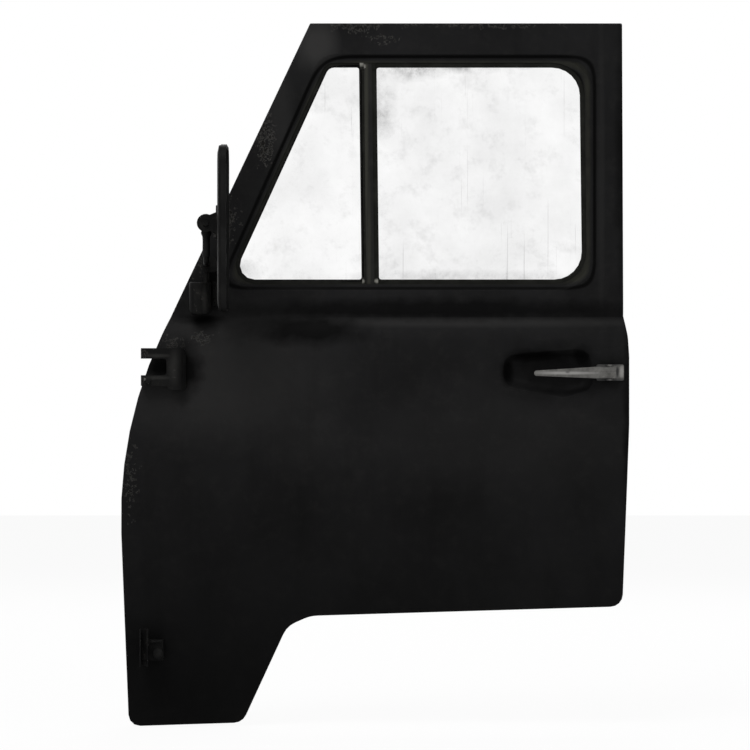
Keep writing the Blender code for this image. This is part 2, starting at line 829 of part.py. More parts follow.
def build_main_seal(rubber):
    """The glass run: a ring with a groove for the glass, open at the sill."""
    opening = main_opening()
    low = FRAME_Y + RECESS_DEPTH + SHEET + CLEAR
    high = WINDOW_FLANGE_Y - CLEAR
    grip = [-RUBBER_GRIP, -RUBBER_GRIP, -SEAL_SPLIT, -RUBBER_GRIP]
    seal = slab("main_window_seal", [rounded(opening, grip), rounded(opening)], low, high, rubber)
    reach = SEAL_SPLIT - RUN_WALL
    groove = [
        (raked(MAIN_REAR_X, 0.1) + reach, 0.1, LEAST_RADIUS, 1),
        (raked(MAIN_REAR_X, GLASS_TOP) + reach, GLASS_TOP + reach, MAIN_RADIUS + reach, 6),
        (raked(MAIN_FRONT_X, GLASS_TOP) - reach, GLASS_TOP + reach, 5 * MM, 2),
        (raked(MAIN_FRONT_X, 0.1) - reach, 0.1, LEAST_RADIUS, 1),
    ]
    half = GLASS_THICK / 2 + GLASS_SIDE_GAP
    cut(seal, slab("run_groove", [rounded(groove)], GLASS_Y - half, GLASS_Y + half, home=CUTTERS))
    return seal


def run_strip(left, right, foot, top):
    """A raked strip between two lines of the windows."""
    return [
        (raked(right, foot), foot),
        (raked(right, top), top),
        (raked(left, top), top),
        (raked(left, foot), foot),
    ]


def build_division_bar(paint):
    left = VENT_REAR_X + SEAL_SPLIT
    right = MAIN_FRONT_X - SEAL_SPLIT - CLEAR
    low = FRAME_Y + RECESS_DEPTH + SHEET + CLEAR
    high = WINDOW_FLANGE_Y - CLEAR
    top = GLASS_TOP + RUBBER_GRIP + 4 * MM
    bar = slab("division_bar", [run_strip(left, right, RUN_FOOT, top)], low, high, paint)
    wall = 1.8 * MM
    inside = run_strip(left + wall, right - wall, RUN_FOOT - 0.02, top + 0.02)
    cut(bar, slab("bar_channel", [inside], low + wall, high + 0.01, home=CUTTERS))
    foot = slab(
        "bar_foot",
        [run_strip(left, right, RUN_FOOT, RUN_FOOT + 16 * MM)],
        low + 1 * MM,
        INNER_BODY_Y - SHEET - CLEAR,
    )
    join(bar, foot)
    return bevel(bar, 0.5 * MM, 1)


def build_lower_run(name, line, side, felt):
    """One leg of the glass run below the sill; side is the way from the line to its back."""
    high = WINDOW_FLANGE_Y - CLEAR
    top = GLASS_SILL - RUBBER_GRIP - CLEAR
    back = SEAL_SPLIT - CLEAR if side < 0 else SEAL_SPLIT
    leg = slab(name, [run_strip(*sorted((line, line + side * back)), RUN_FOOT, top)], 43 * MM, high, felt)
    reach = SEAL_SPLIT - RUN_WALL
    half = GLASS_THICK / 2 + GLASS_SIDE_GAP
    slot = run_strip(*sorted((line - side * 0.01, line + side * reach)), RUN_FOOT - 0.02, top + 0.02)
    cut(leg, slab(name + "_slot", [slot], GLASS_Y - half, GLASS_Y + half, home=CUTTERS))
    if side > 0:
        foot = [run_strip(line + 1 * MM, line + back, RUN_FOOT, RUN_FOOT + 16 * MM)]
        join(leg, slab(name + "_foot", foot, high - 1 * MM, INNER_BODY_Y - SHEET - CLEAR))
    return leg


def build_main_glass(glass, steel, pivot):
    outline = [
        (raked(MAIN_REAR_X, LIFT_TOP - 14 * MM) + GLASS_HOLD, LIFT_TOP - 14 * MM, 3 * MM, 2),
        (raked(MAIN_REAR_X, GLASS_TOP) + GLASS_HOLD, GLASS_TOP + GLASS_HOLD, MAIN_RADIUS + GLASS_HOLD, 6),
        (raked(MAIN_FRONT_X, GLASS_TOP) - GLASS_HOLD, GLASS_TOP + GLASS_HOLD, 5 * MM, 2),
        (raked(MAIN_FRONT_X, LIFT_TOP - 14 * MM) - GLASS_HOLD, LIFT_TOP - 14 * MM, 3 * MM, 2),
    ]
    half = GLASS_THICK / 2
    hang(slab("main_glass", [rounded(outline)], GLASS_Y - half, GLASS_Y + half, glass), pivot)
    clamp = block(
        "lift_channel",
        LIFT_X,
        (GLASS_Y - 5.5 * MM, GLASS_Y + 5.5 * MM),
        (LIFT_TOP - 22 * MM, LIFT_TOP),
        steel,
    )
    throat = (GLASS_Y - half - CLEAR, GLASS_Y + half + CLEAR)
    reach = (LIFT_X[0] - 0.01, LIFT_X[1] + 0.01)
    cut(
        clamp,
        block("clamp_throat", reach, throat, (LIFT_TOP - 14 * MM - CLEAR, LIFT_TOP + 0.01), home=CUTTERS),
    )
    wall = 2 * MM
    slot = (ROLLER_REST - ROLLER_SLOT / 2, ROLLER_REST + ROLLER_SLOT / 2)
    back = (GLASS_Y + 5 * MM, GLASS_Y + 7.5 * MM)
    join(clamp, block("lift_back", SLOT_X, back, (slot[0] - wall, LIFT_TOP - 2 * MM)))
    for name, low, high in (("lift_top", slot[1], slot[1] + wall), ("lift_foot", slot[0] - wall, slot[0])):
        join(clamp, block(name, SLOT_X, (back[0], ARM_Y[0] - 4 * MM), (low, high)))
    hang(clamp, pivot)


# Winder

ARM_SWING = math.asin(GLASS_TRAVEL / 2 / ARM_LENGTH)
ROLLER_REST = ARM_PIVOT[1] + ARM_LENGTH * math.sin(ARM_SWING)
SECTOR_RADIUS = MODULE * SECTOR_TEETH / 2
PINION_RADIUS = MODULE * PINION_TEETH / 2
PINION = (ARM_PIVOT[0], ARM_PIVOT[1] - SECTOR_RADIUS - PINION_RADIUS)


def tooth(centre, angle, pitch_radius, share):
    """Four points of one tooth, counter-clockwise; share is its width at the pitch circle over the pitch."""
    width = math.pi * MODULE * share
    points = []
    for radius, half in (
        (pitch_radius - 1.2 * MODULE, 0.72 * width),
        (pitch_radius + 0.9 * MODULE, 0.26 * width),
    ):
        points.append((radius, half / radius))
    (root, wide), (tip, narrow) = points
    return [
        (centre[0] + r * math.cos(angle + turn), centre[1] + r * math.sin(angle + turn))
        for r, turn in ((root, -wide), (tip, -narrow), (tip, narrow), (root, wide))
    ]


def build_regulator_arm(steel, pivot):
    """Arm and toothed sector from one plate."""
    pitch = 2 * math.pi / SECTOR_TEETH
    swing = ARM_SWING
    half_span = swing + SECTOR_SPARE
    middle = swing - math.pi / 2
    count = round(half_span / pitch)
    points = []
    for k in range(-count, count + 1):
        # A gap of the sector faces the pinion's tooth at rest.
        angle = -math.pi / 2 + round((middle + math.pi / 2) / pitch) * pitch + (k + 0.5) * pitch
        points += tooth(ARM_PIVOT, angle, SECTOR_RADIUS, 0.40)
    hub = 24 * MM
    end_half = 11 * MM
    tip = (ARM_PIVOT[0] + ARM_LENGTH * math.cos(swing), ARM_PIVOT[1] + ARM_LENGTH * math.sin(swing))
    side = (-math.sin(swing), math.cos(swing))
    start = (ARM_PIVOT[0] + 60 * MM * math.cos(swing), ARM_PIVOT[1] + 60 * MM * math.sin(swing))
    points.append((start[0] - side[0] * 17 * MM, start[1] - side[1] * 17 * MM))
    for k in range(9):
        angle = swing - math.pi / 2 + math.pi * k / 8
        points.append((tip[0] + end_half * math.cos(angle), tip[1] + end_half * math.sin(angle)))
    points.append((start[0] + side[0] * 17 * MM, start[1] + side[1] * 17 * MM))
    for k in range(7):
        angle = swing + math.radians(70) + math.radians(120) * k / 6
        points.append((ARM_PIVOT[0] + hub * math.cos(angle), ARM_PIVOT[1] + hub * math.sin(angle)))
    window = []
    for radius, order in ((0.48, 1), (0.86, -1)):
        for k in range(9):
            share = (k / 8 * 2 - 1) * order
            angle = middle + share * (half_span - math.radians(14 if radius > 0.6 else 20))
            window.append(
                (
                    ARM_PIVOT[0] + SECTOR_RADIUS * radius * math.cos(angle),
                    ARM_PIVOT[1] + SECTOR_RADIUS * radius * math.sin(angle),
                )
            )
    arm = slab(
        "regulator_arm",
        [points, window, circle(*ARM_PIVOT, 6.4 * MM), circle(*tip, 3.3 * MM, 12)],
        *ARM_Y,
        steel,
    )
    hang(arm, pivot)
    return tip


def build_roller(tip, plastic, pivot):
    back = GLASS_Y + 8 * MM
    profile = [
        (0, 74 * MM),
        (5.5 * MM, 74 * MM),
        (5.5 * MM, ARM_Y[1] + 0.4 * MM),
        (3 * MM, ARM_Y[1] + 0.4 * MM),
        (3 * MM, ARM_Y[0] - 0.4 * MM),
        (5.5 * MM, ARM_Y[0] - 0.4 * MM),
        (5.5 * MM, 65 * MM),
        (ROLLER_RADIUS, 64.4 * MM),
        (ROLLER_RADIUS, back + 1 * MM),
        (ROLLER_RADIUS - 1 * MM, back),
        (0, back),
    ]
    hang(turned("regulator_roller", profile, (tip[0], 0, tip[1]), "Y", plastic, steps=14), pivot)


def build_regulator_plate(steel):
    half = 42 * MM
    left, right = ARM_PIVOT[0] - half, ARM_PIVOT[0] + half
    corners = box_corners(left, right, PINION[1] - 48 * MM, ARM_PIVOT[1] + half, 30 * MM, 4)
    loops = [rounded(corners), circle(*PINION, SHAFT_RADIUS + 0.4 * MM)]
    loops.append(circle(ARM_PIVOT[0], (ARM_PIVOT[1] + PINION[1]) / 2, 20 * MM))
    for x, z in regulator_screw_places():
        loops.append(circle(x, z, 2.5 * MM, 8))
    plate = slab("regulator_plate", loops, *PLATE_Y, steel)
    stud = [
        (0, PLATE_Y[0] + 1 * MM),
        (6 * MM, PLATE_Y[0] + 1 * MM),
        (6 * MM, ARM_Y[0] - CLEAR),
        (11 * MM, ARM_Y[0] - CLEAR),
        (10 * MM, ARM_Y[0] - 3 * MM),
        (0, ARM_Y[0] - 3 * MM),
    ]
    join(plate, turned("arm_stud", stud, (ARM_PIVOT[0], 0, ARM_PIVOT[1]), "Y", None))
    for k, (x, z) in enumerate(regulator_screw_places()):
        loops = [circle(x, z, 8 * MM, 8), circle(x, z, 2.5 * MM, 8)]
        join(plate, slab(f"spacer_{k}", loops, PLATE_Y[1] - 1 * MM, INNER_BODY_Y - SHEET - CLEAR))
    return plate


def regulator_screw_places():
    return [
        (ARM_PIVOT[0] - 24 * MM, ARM_PIVOT[1] + 26 * MM),
        (ARM_PIVOT[0] + 24 * MM, ARM_PIVOT[1] + 26 * MM),
        (ARM_PIVOT[0], PINION[1] - 35 * MM),
    ]


def build_winder(steel, chrome, plastic, pivot, knob_pivot):
    points = []
    for k in range(PINION_TEETH):
        points += tooth(PINION, math.pi / 2 + 2 * math.pi * k / PINION_TEETH, PINION_RADIUS, 0.40)
    gear = slab("crank_shaft", [points], ARM_Y[0] - 0.5 * MM, ARM_Y[1] + 1 * MM, steel)
    profile = [
        (0, 96 * MM),
        (SHAFT_RADIUS, 96 * MM),
        (SHAFT_RADIUS, ARM_Y[1] + 0.5 * MM),
        (0, ARM_Y[1] + 0.5 * MM),
    ]
    join(gear, turned("shaft_bar", profile, (PINION[0], 0, PINION[1]), "Y", None, steps=12))
    hang(gear, pivot)
    knob_at = knob_place()
    arm_y = (98 * MM, 104 * MM)
    hub = [
        (0, arm_y[1] + 2 * MM),
        (9 * MM, arm_y[1] + 2 * MM),
        (13 * MM, arm_y[1] - 1 * MM),
        (14 * MM, 92 * MM),
        (12 * MM, 86.8 * MM),
        (SHAFT_RADIUS + CLEAR, 86.8 * MM),
        (SHAFT_RADIUS + CLEAR, 96 * MM + CLEAR),
        (0, 96 * MM + CLEAR),
    ]
    crank = turned("winder_handle", hub, (PINION[0], 0, PINION[1]), "Y", chrome, steps=14)
    along = Vector((math.cos(CRANK_ANGLE), math.sin(CRANK_ANGLE)))
    across = Vector((-along.y, along.x))
    centre = Vector(PINION)
    end = Vector(knob_at)
    bar = [
        tuple(centre - across * 9 * MM),
        *arc_points(end, 7 * MM, CRANK_ANGLE - math.pi / 2, math.pi, 8),
        tuple(centre + across * 9 * MM),
    ]
    join(crank, slab("crank_bar", [bar], *arm_y))
    join(crank, rod("knob_stud", (end.x, 102 * MM, end.y), (end.x, 118 * MM, end.y), 3.5 * MM, sides=12))
    hang(bevel(crank, 1 * MM, 1, 60), pivot)
    knob = [
        (0, 130 * MM),
        (7 * MM, 130 * MM),
        (11.5 * MM, 127 * MM),
        (12.5 * MM, 121 * MM),
        (9.5 * MM, 111 * MM),
        (9 * MM, arm_y[1] + CLEAR),
        (3.9 * MM, arm_y[1] + CLEAR),
        (3.9 * MM, 118.4 * MM),
        (0, 118.4 * MM),
    ]
    hang(turned("winder_knob", knob, (end.x, 0, end.y), "Y", plastic), knob_pivot)


def knob_place():
    return (
        PINION[0] + CRANK_LENGTH * math.cos(CRANK_ANGLE), PINION[1] + CRANK_LENGTH * math.sin(CRANK_ANGLE)
    )


def arc_points(centre, radius, start, sweep, steps):
    return [
        (
            centre[0] + radius * math.cos(start + sweep * k / steps),
            centre[1] + radius * math.sin(start + sweep * k / steps),
        )
        for k in range(steps + 1)
    ]


def build_escutcheon(name, place_xz, radius, plastic):
    profile = [
        (6.5 * MM, INNER_BODY_Y + 2.3 * MM),
        (radius - 5 * MM, INNER_BODY_Y + 2.3 * MM),
        (radius, INNER_BODY_Y + 1.2 * MM),
        (radius, INNER_BODY_Y + CLEAR),
        (6.5 * MM, INNER_BODY_Y + CLEAR),
        (6.5 * MM, INNER_BODY_Y + 2.3 * MM),
    ]
    return turned(name, profile, (place_xz[0], 0, place_xz[1]), "Y", plastic, steps=16)


# Lock

LATCH_SCREWS = ((42 * MM, 18 * MM), (74 * MM, 22 * MM), (58 * MM, -62 * MM))
FACE_X = (REAR_X - JAMB_INSET + 0.5 * MM, REAR_X - JAMB_INSET + 2.5 * MM)


def build_latch(steel, dark, pivot):
    case = block("latch_case", (LATCH_X, 900.4 * MM), LATCH_Y, LATCH_Z, steel)
    cut(case, rod("rotor_bore", (880 * MM, *ROTOR_PLACE), (920 * MM, *ROTOR_PLACE), 6.4 * MM, home=CUTTERS))
    rod_z = SPINDLE[1] + ROD_ARM
    window = (rod_z - 5 * MM, rod_z + 5 * MM)
    cut(
        case,
        block(
            "rod_window",
            (LATCH_X - 0.01, LATCH_X + 12 * MM),
            (ROD_Y[0] - 1 * MM, 0.09),
            window,
            home=CUTTERS,
        ),
    )
    face = slab(
        "latch_face_plate",
        [
            rounded(box_corners(34 * MM, 79 * MM, -74 * MM, 32 * MM, 6 * MM, 3)),
            circle(*ROTOR_PLACE, 8 * MM),
            *[circle(y, z, 2.7 * MM, 8) for y, z in LATCH_SCREWS],
        ],
        *FACE_X,
        dark,
        axis="X",
    )
    for k, (y, z) in enumerate(LATCH_SCREWS):
        cut(
            case, rod(f"case_hole_{k}", (893 * MM, y, z), (912 * MM, y, z), 2.6 * MM, home=CUTTERS, sides=8)
        )
        profile = [
            (0, 2.4 * MM),
            (3 * MM, 2.4 * MM),
            (4.5 * MM, 0),
            (2.2 * MM, 0),
            (2.2 * MM, -10 * MM),
            (0, -10 * MM),
        ]
        turned(f"latch_screw_{k + 1}", profile, (FACE_X[1] + CLEAR, y, z), "X", steel, steps=8)
    low = FACE_X[1] + 0.4 * MM
    points = []
    for k in range(6):
        angle = math.pi / 2 + 2 * math.pi * k / 6
        for turn, radius in ((-20, 0.72), (-13, 1), (13, 1), (20, 0.72)):
            around = angle + math.radians(turn)
            reach = ROTOR_RADIUS * radius
            points.append(
                (ROTOR_PLACE[0] + reach * math.cos(around), ROTOR_PLACE[1] + reach * math.sin(around))
            )
    rotor = slab("latch_rotor", [points], low, low + 7 * MM, steel, axis="X")
    join(rotor, rod("rotor_shaft", (886 * MM, *ROTOR_PLACE), (low + 3 * MM, *ROTOR_PLACE), 6 * MM))
    hang(rotor, pivot)
    return case


def build_inside_handle(chrome, steel, pivot, rod_pivot):
    profile = [
        (0, 97 * MM),
        (9 * MM, 97 * MM),
        (13 * MM, 94 * MM),
        (13 * MM, 86.8 * MM),
        (SPINDLE_RADIUS + CLEAR, 86.8 * MM),
        (SPINDLE_RADIUS + CLEAR, 93 * MM),
        (0, 93 * MM),
    ]
    handle = turned("inside_handle", profile, (SPINDLE[0], 0, SPINDLE[1]), "Y", chrome, steps=14)
    lever = [
        (SPINDLE[0] - 7 * MM, SPINDLE[1] + 10 * MM, 1 * MM, 2),
        (SPINDLE[0] - 96 * MM, SPINDLE[1] + 13 * MM, 6 * MM, 3),
        (SPINDLE[0] - 96 * MM, SPINDLE[1] - 5 * MM, 6 * MM, 3),
        (SPINDLE[0] - 7 * MM, SPINDLE[1] - 10 * MM, 1 * MM, 2),
    ]
    join(handle, slab("lever_blade", [rounded(lever)], 88.5 * MM, 95 * MM))
    hang(bevel(handle, 1 * MM, 1, 60), pivot)
    spindle = rod(
        "inside_spindle",
        (SPINDLE[0], 70 * MM, SPINDLE[1]),
        (SPINDLE[0], 92.6 * MM, SPINDLE[1]),
        SPINDLE_RADIUS,
        steel,
    )
    rod_z = SPINDLE[1] + ROD_ARM
    crank = [
        (SPINDLE[0] + 9 * MM, SPINDLE[1] - 8 * MM, 5 * MM, 3),
        (SPINDLE[0] + 5 * MM, rod_z + 5 * MM, 4 * MM, 3),
        (SPINDLE[0] - 5 * MM, rod_z + 5 * MM, 4 * MM, 3),
        (SPINDLE[0] - 9 * MM, SPINDLE[1] - 8 * MM, 5 * MM, 3),
    ]
    join(spindle, slab("spindle_crank", [rounded(crank)], ROD_Y[0] - 4 * MM, ROD_Y[0] - 1 * MM))
    join(
        spindle,
        rod(
            "crank_peg",
            (SPINDLE[0], ROD_Y[0] - 2 * MM, rod_z),
            (SPINDLE[0], ROD_Y[1] + 1 * MM, rod_z),
            2 * MM,
            sides=10,
        ),
    )
    hang(spindle, pivot)
    link = [
        (LATCH_X + 7 * MM, rod_z - 3 * MM, 1 * MM, 2),
        (LATCH_X + 7 * MM, rod_z + 3 * MM, 1 * MM, 2),
        (SPINDLE[0] + 14 * MM, rod_z + 3 * MM, 2 * MM, 2),
        (SPINDLE[0] + 9 * MM, rod_z + 7 * MM, 3 * MM, 2),
        (SPINDLE[0] - 8 * MM, rod_z + 7 * MM, 4 * MM, 3),
        (SPINDLE[0] - 8 * MM, rod_z - 9 * MM, 4 * MM, 3),
        (SPINDLE[0] + 9 * MM, rod_z - 9 * MM, 3 * MM, 2),
        (SPINDLE[0] + 14 * MM, rod_z - 3 * MM, 2 * MM, 2),
    ]
    eye = box_corners(
        SPINDLE[0] - 2.8 * MM, SPINDLE[0] + 2.8 * MM, rod_z - 5 * MM, rod_z + 2.8 * MM, 2 * MM, 3
    )
    hang(slab("remote_rod", [rounded(link), rounded(eye)], *ROD_Y, steel), rod_pivot)


# Outside handle


def build_outside_handle(steel, pivot):
    front = BODY_Y - CLEAR - BASE_THICK
    corners = box_corners(*BASE_X, *BASE_Z, 3 * MM, 3)
    base = slab("handle_base", [rounded(corners)], front, BODY_Y - CLEAR, steel)
    pin_x, pin_y = HANDLE_PIN
    for name, low, high in (
        ("lug_top", BASE_Z[1] - 0.5 * MM - LUG_THICK, BASE_Z[1] - 0.5 * MM),
        ("lug_foot", BASE_Z[0] + 0.5 * MM, BASE_Z[0] + 0.5 * MM + LUG_THICK),
    ):
        ear = [
            (pin_x - 7 * MM, front + 1 * MM),
            *arc_points((pin_x, pin_y), 6.5 * MM, math.pi, math.pi, 8),
            (pin_x + 7 * MM, front + 1 * MM),
        ]
        lug = slab(name, [ear], low, high, axis="Z")
        join(base, lug)
    bore = rod(
        "pin_bore",
        (pin_x, pin_y, -0.04),
        (pin_x, pin_y, 0.02),
        HANDLE_PIN_RADIUS + 0.3 * MM,
        home=CUTTERS,
        sides=12,
    )
    cut(base, bore)
    rod(
        "handle_pivot_pin",
        (pin_x, pin_y, BASE_Z[0] + 0.5 * MM),
        (pin_x, pin_y, BASE_Z[1] - 0.5 * MM),
        HANDLE_PIN_RADIUS,
        steel,
        sides=12,
    )
    top = BASE_Z[1] - LUG_THICK - 1 * MM
    foot = BASE_Z[0] + LUG_THICK + 1 * MM
    lever = [
        (HANDLE_END_X, foot, 3 * MM, 3),
        (HANDLE_END_X, top, 3 * MM, 3),
        (855 * MM, top, 40 * MM, 2),
        (HANDLE_TIP_X, HANDLE_Z + 5 * MM, 4.4 * MM, 3),
        (HANDLE_TIP_X, HANDLE_Z - 4.6 * MM, 4.4 * MM, 3),
        (855 * MM, foot, 40 * MM, 2),
    ]
    handle = slab("outside_handle", [rounded(lever)], -5.5 * MM, 2.5 * MM, steel)
    join(handle, rod("lever_barrel", (pin_x, pin_y, foot), (pin_x, pin_y, top), 6.2 * MM))
    cut(
        handle,
        rod(
            "lever_bore",
            (pin_x, pin_y, -0.04),
            (pin_x, pin_y, 0.02),
            HANDLE_PIN_RADIUS + 0.3 * MM,
            home=CUTTERS,
            sides=12,
        ),
    )
    hang(bevel(handle, 1.6 * MM, 1), pivot)


# Hinges


def build_upper_hinge(paint, steel):
    back = BODY_Y - CLEAR
    side = [
        (LEG_X[1], LEG_FOOT, 8 * MM, 3),
        (LEG_X[1], EAR_TOP[1], 8 * MM, 3),
        (-EAR_RADIUS - 1 * MM, EAR_TOP[1], 1 * MM, 1),
        (-EAR_RADIUS - 1 * MM, EAR_TOP[0], 1 * MM, 1),
        (LEG_X[0], EAR_TOP[0], 5 * MM, 3),
        (LEG_X[0], EAR_FOOT[1], 5 * MM, 3),
        (-EAR_RADIUS - 1 * MM, EAR_FOOT[1], 1 * MM, 1),
        (-EAR_RADIUS - 1 * MM, EAR_FOOT[0], 1 * MM, 1),
        (LEG_X[0] + 2 * MM, EAR_FOOT[0], 5 * MM, 2),
        (LEG_X[0] + 5 * MM, LEG_FOOT, 5 * MM, 2),
    ]
    bracket = slab("upper_hinge_bracket", [rounded(side)], -0.03, 0.03, paint)
    plan = [
        *arc_points((0, 0), EAR_RADIUS, math.pi / 2, math.pi, 10),
        (LEG_X[1] - 8 * MM, -EAR_RADIUS),
        (LEG_X[1], -EAR_RADIUS + 8 * MM),
        (LEG_X[1] + 4 * MM, back),
        (LEG_X[0] - 12 * MM, back),
        (LEG_X[0] - 16 * MM, EAR_RADIUS),
    ]
    combine(bracket, slab("hinge_plan", [plan], -0.1, 0.1, axis="Z"), "INTERSECT")
    cut(bracket, rod("hinge_bore", (0, 0, -0.1), (0, 0, 0.1), PIN_BORE, home=CUTTERS))
    skin = bpy.data.objects["outer_skin"]
    plate = slab(
        "upper_hinge_plate",
        [
            rounded(box_corners(28 * MM, 108 * MM, -70 * MM, 34 * MM, 8 * MM, 3)),
            *[circle(HINGE_BOLT_X, z, BOLT_RADIUS + 0.4 * MM, 12) for z in HINGE_BOLT_Z],
        ],
        BODY_Y + SHEET + PLATE_GAP,
        BODY_Y + SHEET + PLATE_GAP + PLATE_THICK,
        steel,
    )
    seat = BODY_Y + SHEET + PLATE_GAP + PLATE_THICK + CLEAR
    for k, z in enumerate(HINGE_BOLT_Z):
        hole = rod(
            f"hinge_hole_{k}",
            (HINGE_BOLT_X, 1 * MM, z),
            (HINGE_BOLT_X, 20 * MM, z),
            BOLT_RADIUS + 0.4 * MM,
            home=CUTTERS,
            sides=12,
        )
        cut(bracket, hole)
        cut(skin, hole)
        bolt = rod(
            f"upper_hinge_bolt_{k + 1}",
            (HINGE_BOLT_X, 2 * MM, z),
            (HINGE_BOLT_X, seat + 1 * MM, z),
            BOLT_RADIUS,
            steel,
            sides=12,
        )
        join(
            bolt,
            rod(
                f"bolt_head_{k}",
                (HINGE_BOLT_X, seat, z),
                (HINGE_BOLT_X, seat + 5 * MM, z),
                BOLT_HEAD,
                sides=6,
            ),
        )
    bevel(bracket, 2.6 * MM, 1, 50)
    screw_x = 5 * MM
    screw_z = -27 * MM
    rod(
        "pin_lock_screw",
        (screw_x, -EAR_RADIUS - CLEAR, screw_z),
        (screw_x, -EAR_RADIUS - 5 * MM, screw_z),
        5 * MM,
        steel,
        sides=6,
    )
    return plate


def build_lower_hinge(paint, steel):
    """A channel on the hinge axis, carried by an arm that is bolted through the skin."""
    outer = [
        (CHANNEL_X[0], CHANNEL_Y[0]),
        (CHANNEL_X[0] + CHANNEL_WALL, CHANNEL_Y[0]),
        (CHANNEL_X[0] + CHANNEL_WALL, CHANNEL_Y[1] - CHANNEL_WALL),
        (CHANNEL_X[1] - CHANNEL_WALL, CHANNEL_Y[1] - CHANNEL_WALL),
        (CHANNEL_X[1] - CHANNEL_WALL, CHANNEL_Y[0]),
        (CHANNEL_X[1], CHANNEL_Y[0]),
        (CHANNEL_X[1], CHANNEL_Y[1]),
        (CHANNEL_X[0], CHANNEL_Y[1]),
    ]
    bracket = slab("lower_hinge_bracket", [outer], *CHANNEL_Z, paint, axis="Z")
    front = 5 * MM
    arm = [
        (front, ARM_Z[0]),
        (skin_y(ARM_Z[0]) - 0.5 * MM, ARM_Z[0]),
        (skin_y(ARM_Z[1]) - 0.5 * MM, ARM_Z[1]),
        (front, ARM_Z[1]),
    ]
    join(bracket, slab("hinge_arm", [arm], CHANNEL_X[0] + 1 * MM, ARM_X, axis="X"))
    ledge = [
        (front - 4 * MM, ARM_Z[1] - 4 * MM),
        (front + 6 * MM, ARM_Z[1] - 4 * MM),
        (front + 6 * MM, ARM_Z[1]),
        (front - 4 * MM, ARM_Z[1]),
    ]
    join(bracket, slab("hinge_ledge", [ledge], CHANNEL_X[1] - 1 * MM, ARM_X - 3 * MM, axis="X"))
    hole = rod(
        "lower_hole",
        (BOSS[0], 0, BOSS[1]),
        (BOSS[0], 0.06, BOSS[1]),
        BOLT_RADIUS + 0.4 * MM,
        home=CUTTERS,
        sides=12,
    )
    cut(bracket, hole)
    cut(bpy.data.objects["outer_skin"], hole)
    bevel(bracket, 1 * MM, 1, 50)
    low = skin_y(PLATE_Z[0])
    high = skin_y(PLATE_Z[1])
    gap = SHEET + PLATE_GAP
    section = [
        (low + gap, PLATE_Z[0]),
        (low + gap + PLATE_THICK, PLATE_Z[0]),
        (high + gap + PLATE_THICK, PLATE_Z[1]),
        (high + gap, PLATE_Z[1]),
    ]
    plate = slab("lower_hinge_plate", [section], *PLATE_X, steel, axis="X")
    cut(plate, hole)
    seat = skin_y(BOSS[1]) + gap + PLATE_THICK + 1.4 * MM
    bolt = rod(
        "lower_hinge_bolt",
        (BOSS[0], front - 6 * MM, BOSS[1]),
        (BOSS[0], front - CLEAR, BOSS[1]),
        BOSS_RADIUS,
        paint,
        sides=20,
    )
    join(
        bolt,
        rod(
            "bolt_shank",
            (BOSS[0], front - 1 * MM, BOSS[1]),
            (BOSS[0], seat + 6 * MM, BOSS[1]),
            BOLT_RADIUS,
            sides=12,
        ),
    )
    join(
        bolt,
        rod("bolt_nut", (BOSS[0], seat, BOSS[1]), (BOSS[0], seat + 5 * MM, BOSS[1]), BOLT_HEAD, sides=6),
    )


# Mirror


def build_mirror_bracket(paint, steel):
    axis_y = ARM_AXIS[1]
    back = FRAME_Y - CLEAR
    profile = [
        (0, BARREL_Z[1]),
        (BARREL_RADIUS - 2 * MM, BARREL_Z[1]),
        (BARREL_RADIUS, BARREL_Z[1] - 2 * MM),
        (BARREL_RADIUS, BARREL_Z[0] + 10 * MM),
        (BARREL_RADIUS - 4 * MM, BARREL_Z[0] + 2 * MM),
        (BARREL_RADIUS - 9 * MM, BARREL_Z[0]),
        (0, BARREL_Z[0]),
    ]
    bracket = turned("mirror_bracket", profile, (BARREL_X, axis_y, 0), "Z", paint, steps=18)
    pad = (COVE_TOP + 2 * MM, BARREL_Z[1] - 3 * MM)
    join(bracket, block("barrel_pad", (BARREL_X - 18 * MM, BARREL_X + 18 * MM), (axis_y, back), pad))
    bore = rod(
        "arm_bore", (*ARM_AXIS, ARM_FOOT - 4 * MM), (*ARM_AXIS, BARREL_Z[1] + 9 * MM), ARM_RADIUS + 0.3 * MM, home=CUTTERS
    )
    cut(bracket, bore)
    strap = block("mirror_strap", STRAP_X, (back - 6 * MM, back), (COVE_TOP + 2 * MM, BARREL_Z[1] + 2 * MM), paint)
    bevel(strap, 1 * MM, 1)
    skin = bpy.data.objects["outer_skin"]
    middle = (STRAP_X[0] + STRAP_X[1]) / 2
    for k, z in enumerate((COVE_TOP + 11 * MM, BARREL_Z[1] - 9 * MM)):
        hole = rod(f"strap_hole_{k}", (middle, 0.02, z), (middle, 0.06, z), 2.6 * MM, home=CUTTERS, sides=8)
        cut(strap, hole)
        cut(skin, hole)
        screw_of(f"mirror_screw_{k + 1}", middle, z, back - 6 * MM - CLEAR, steel, depth=10 * MM, out=-1)


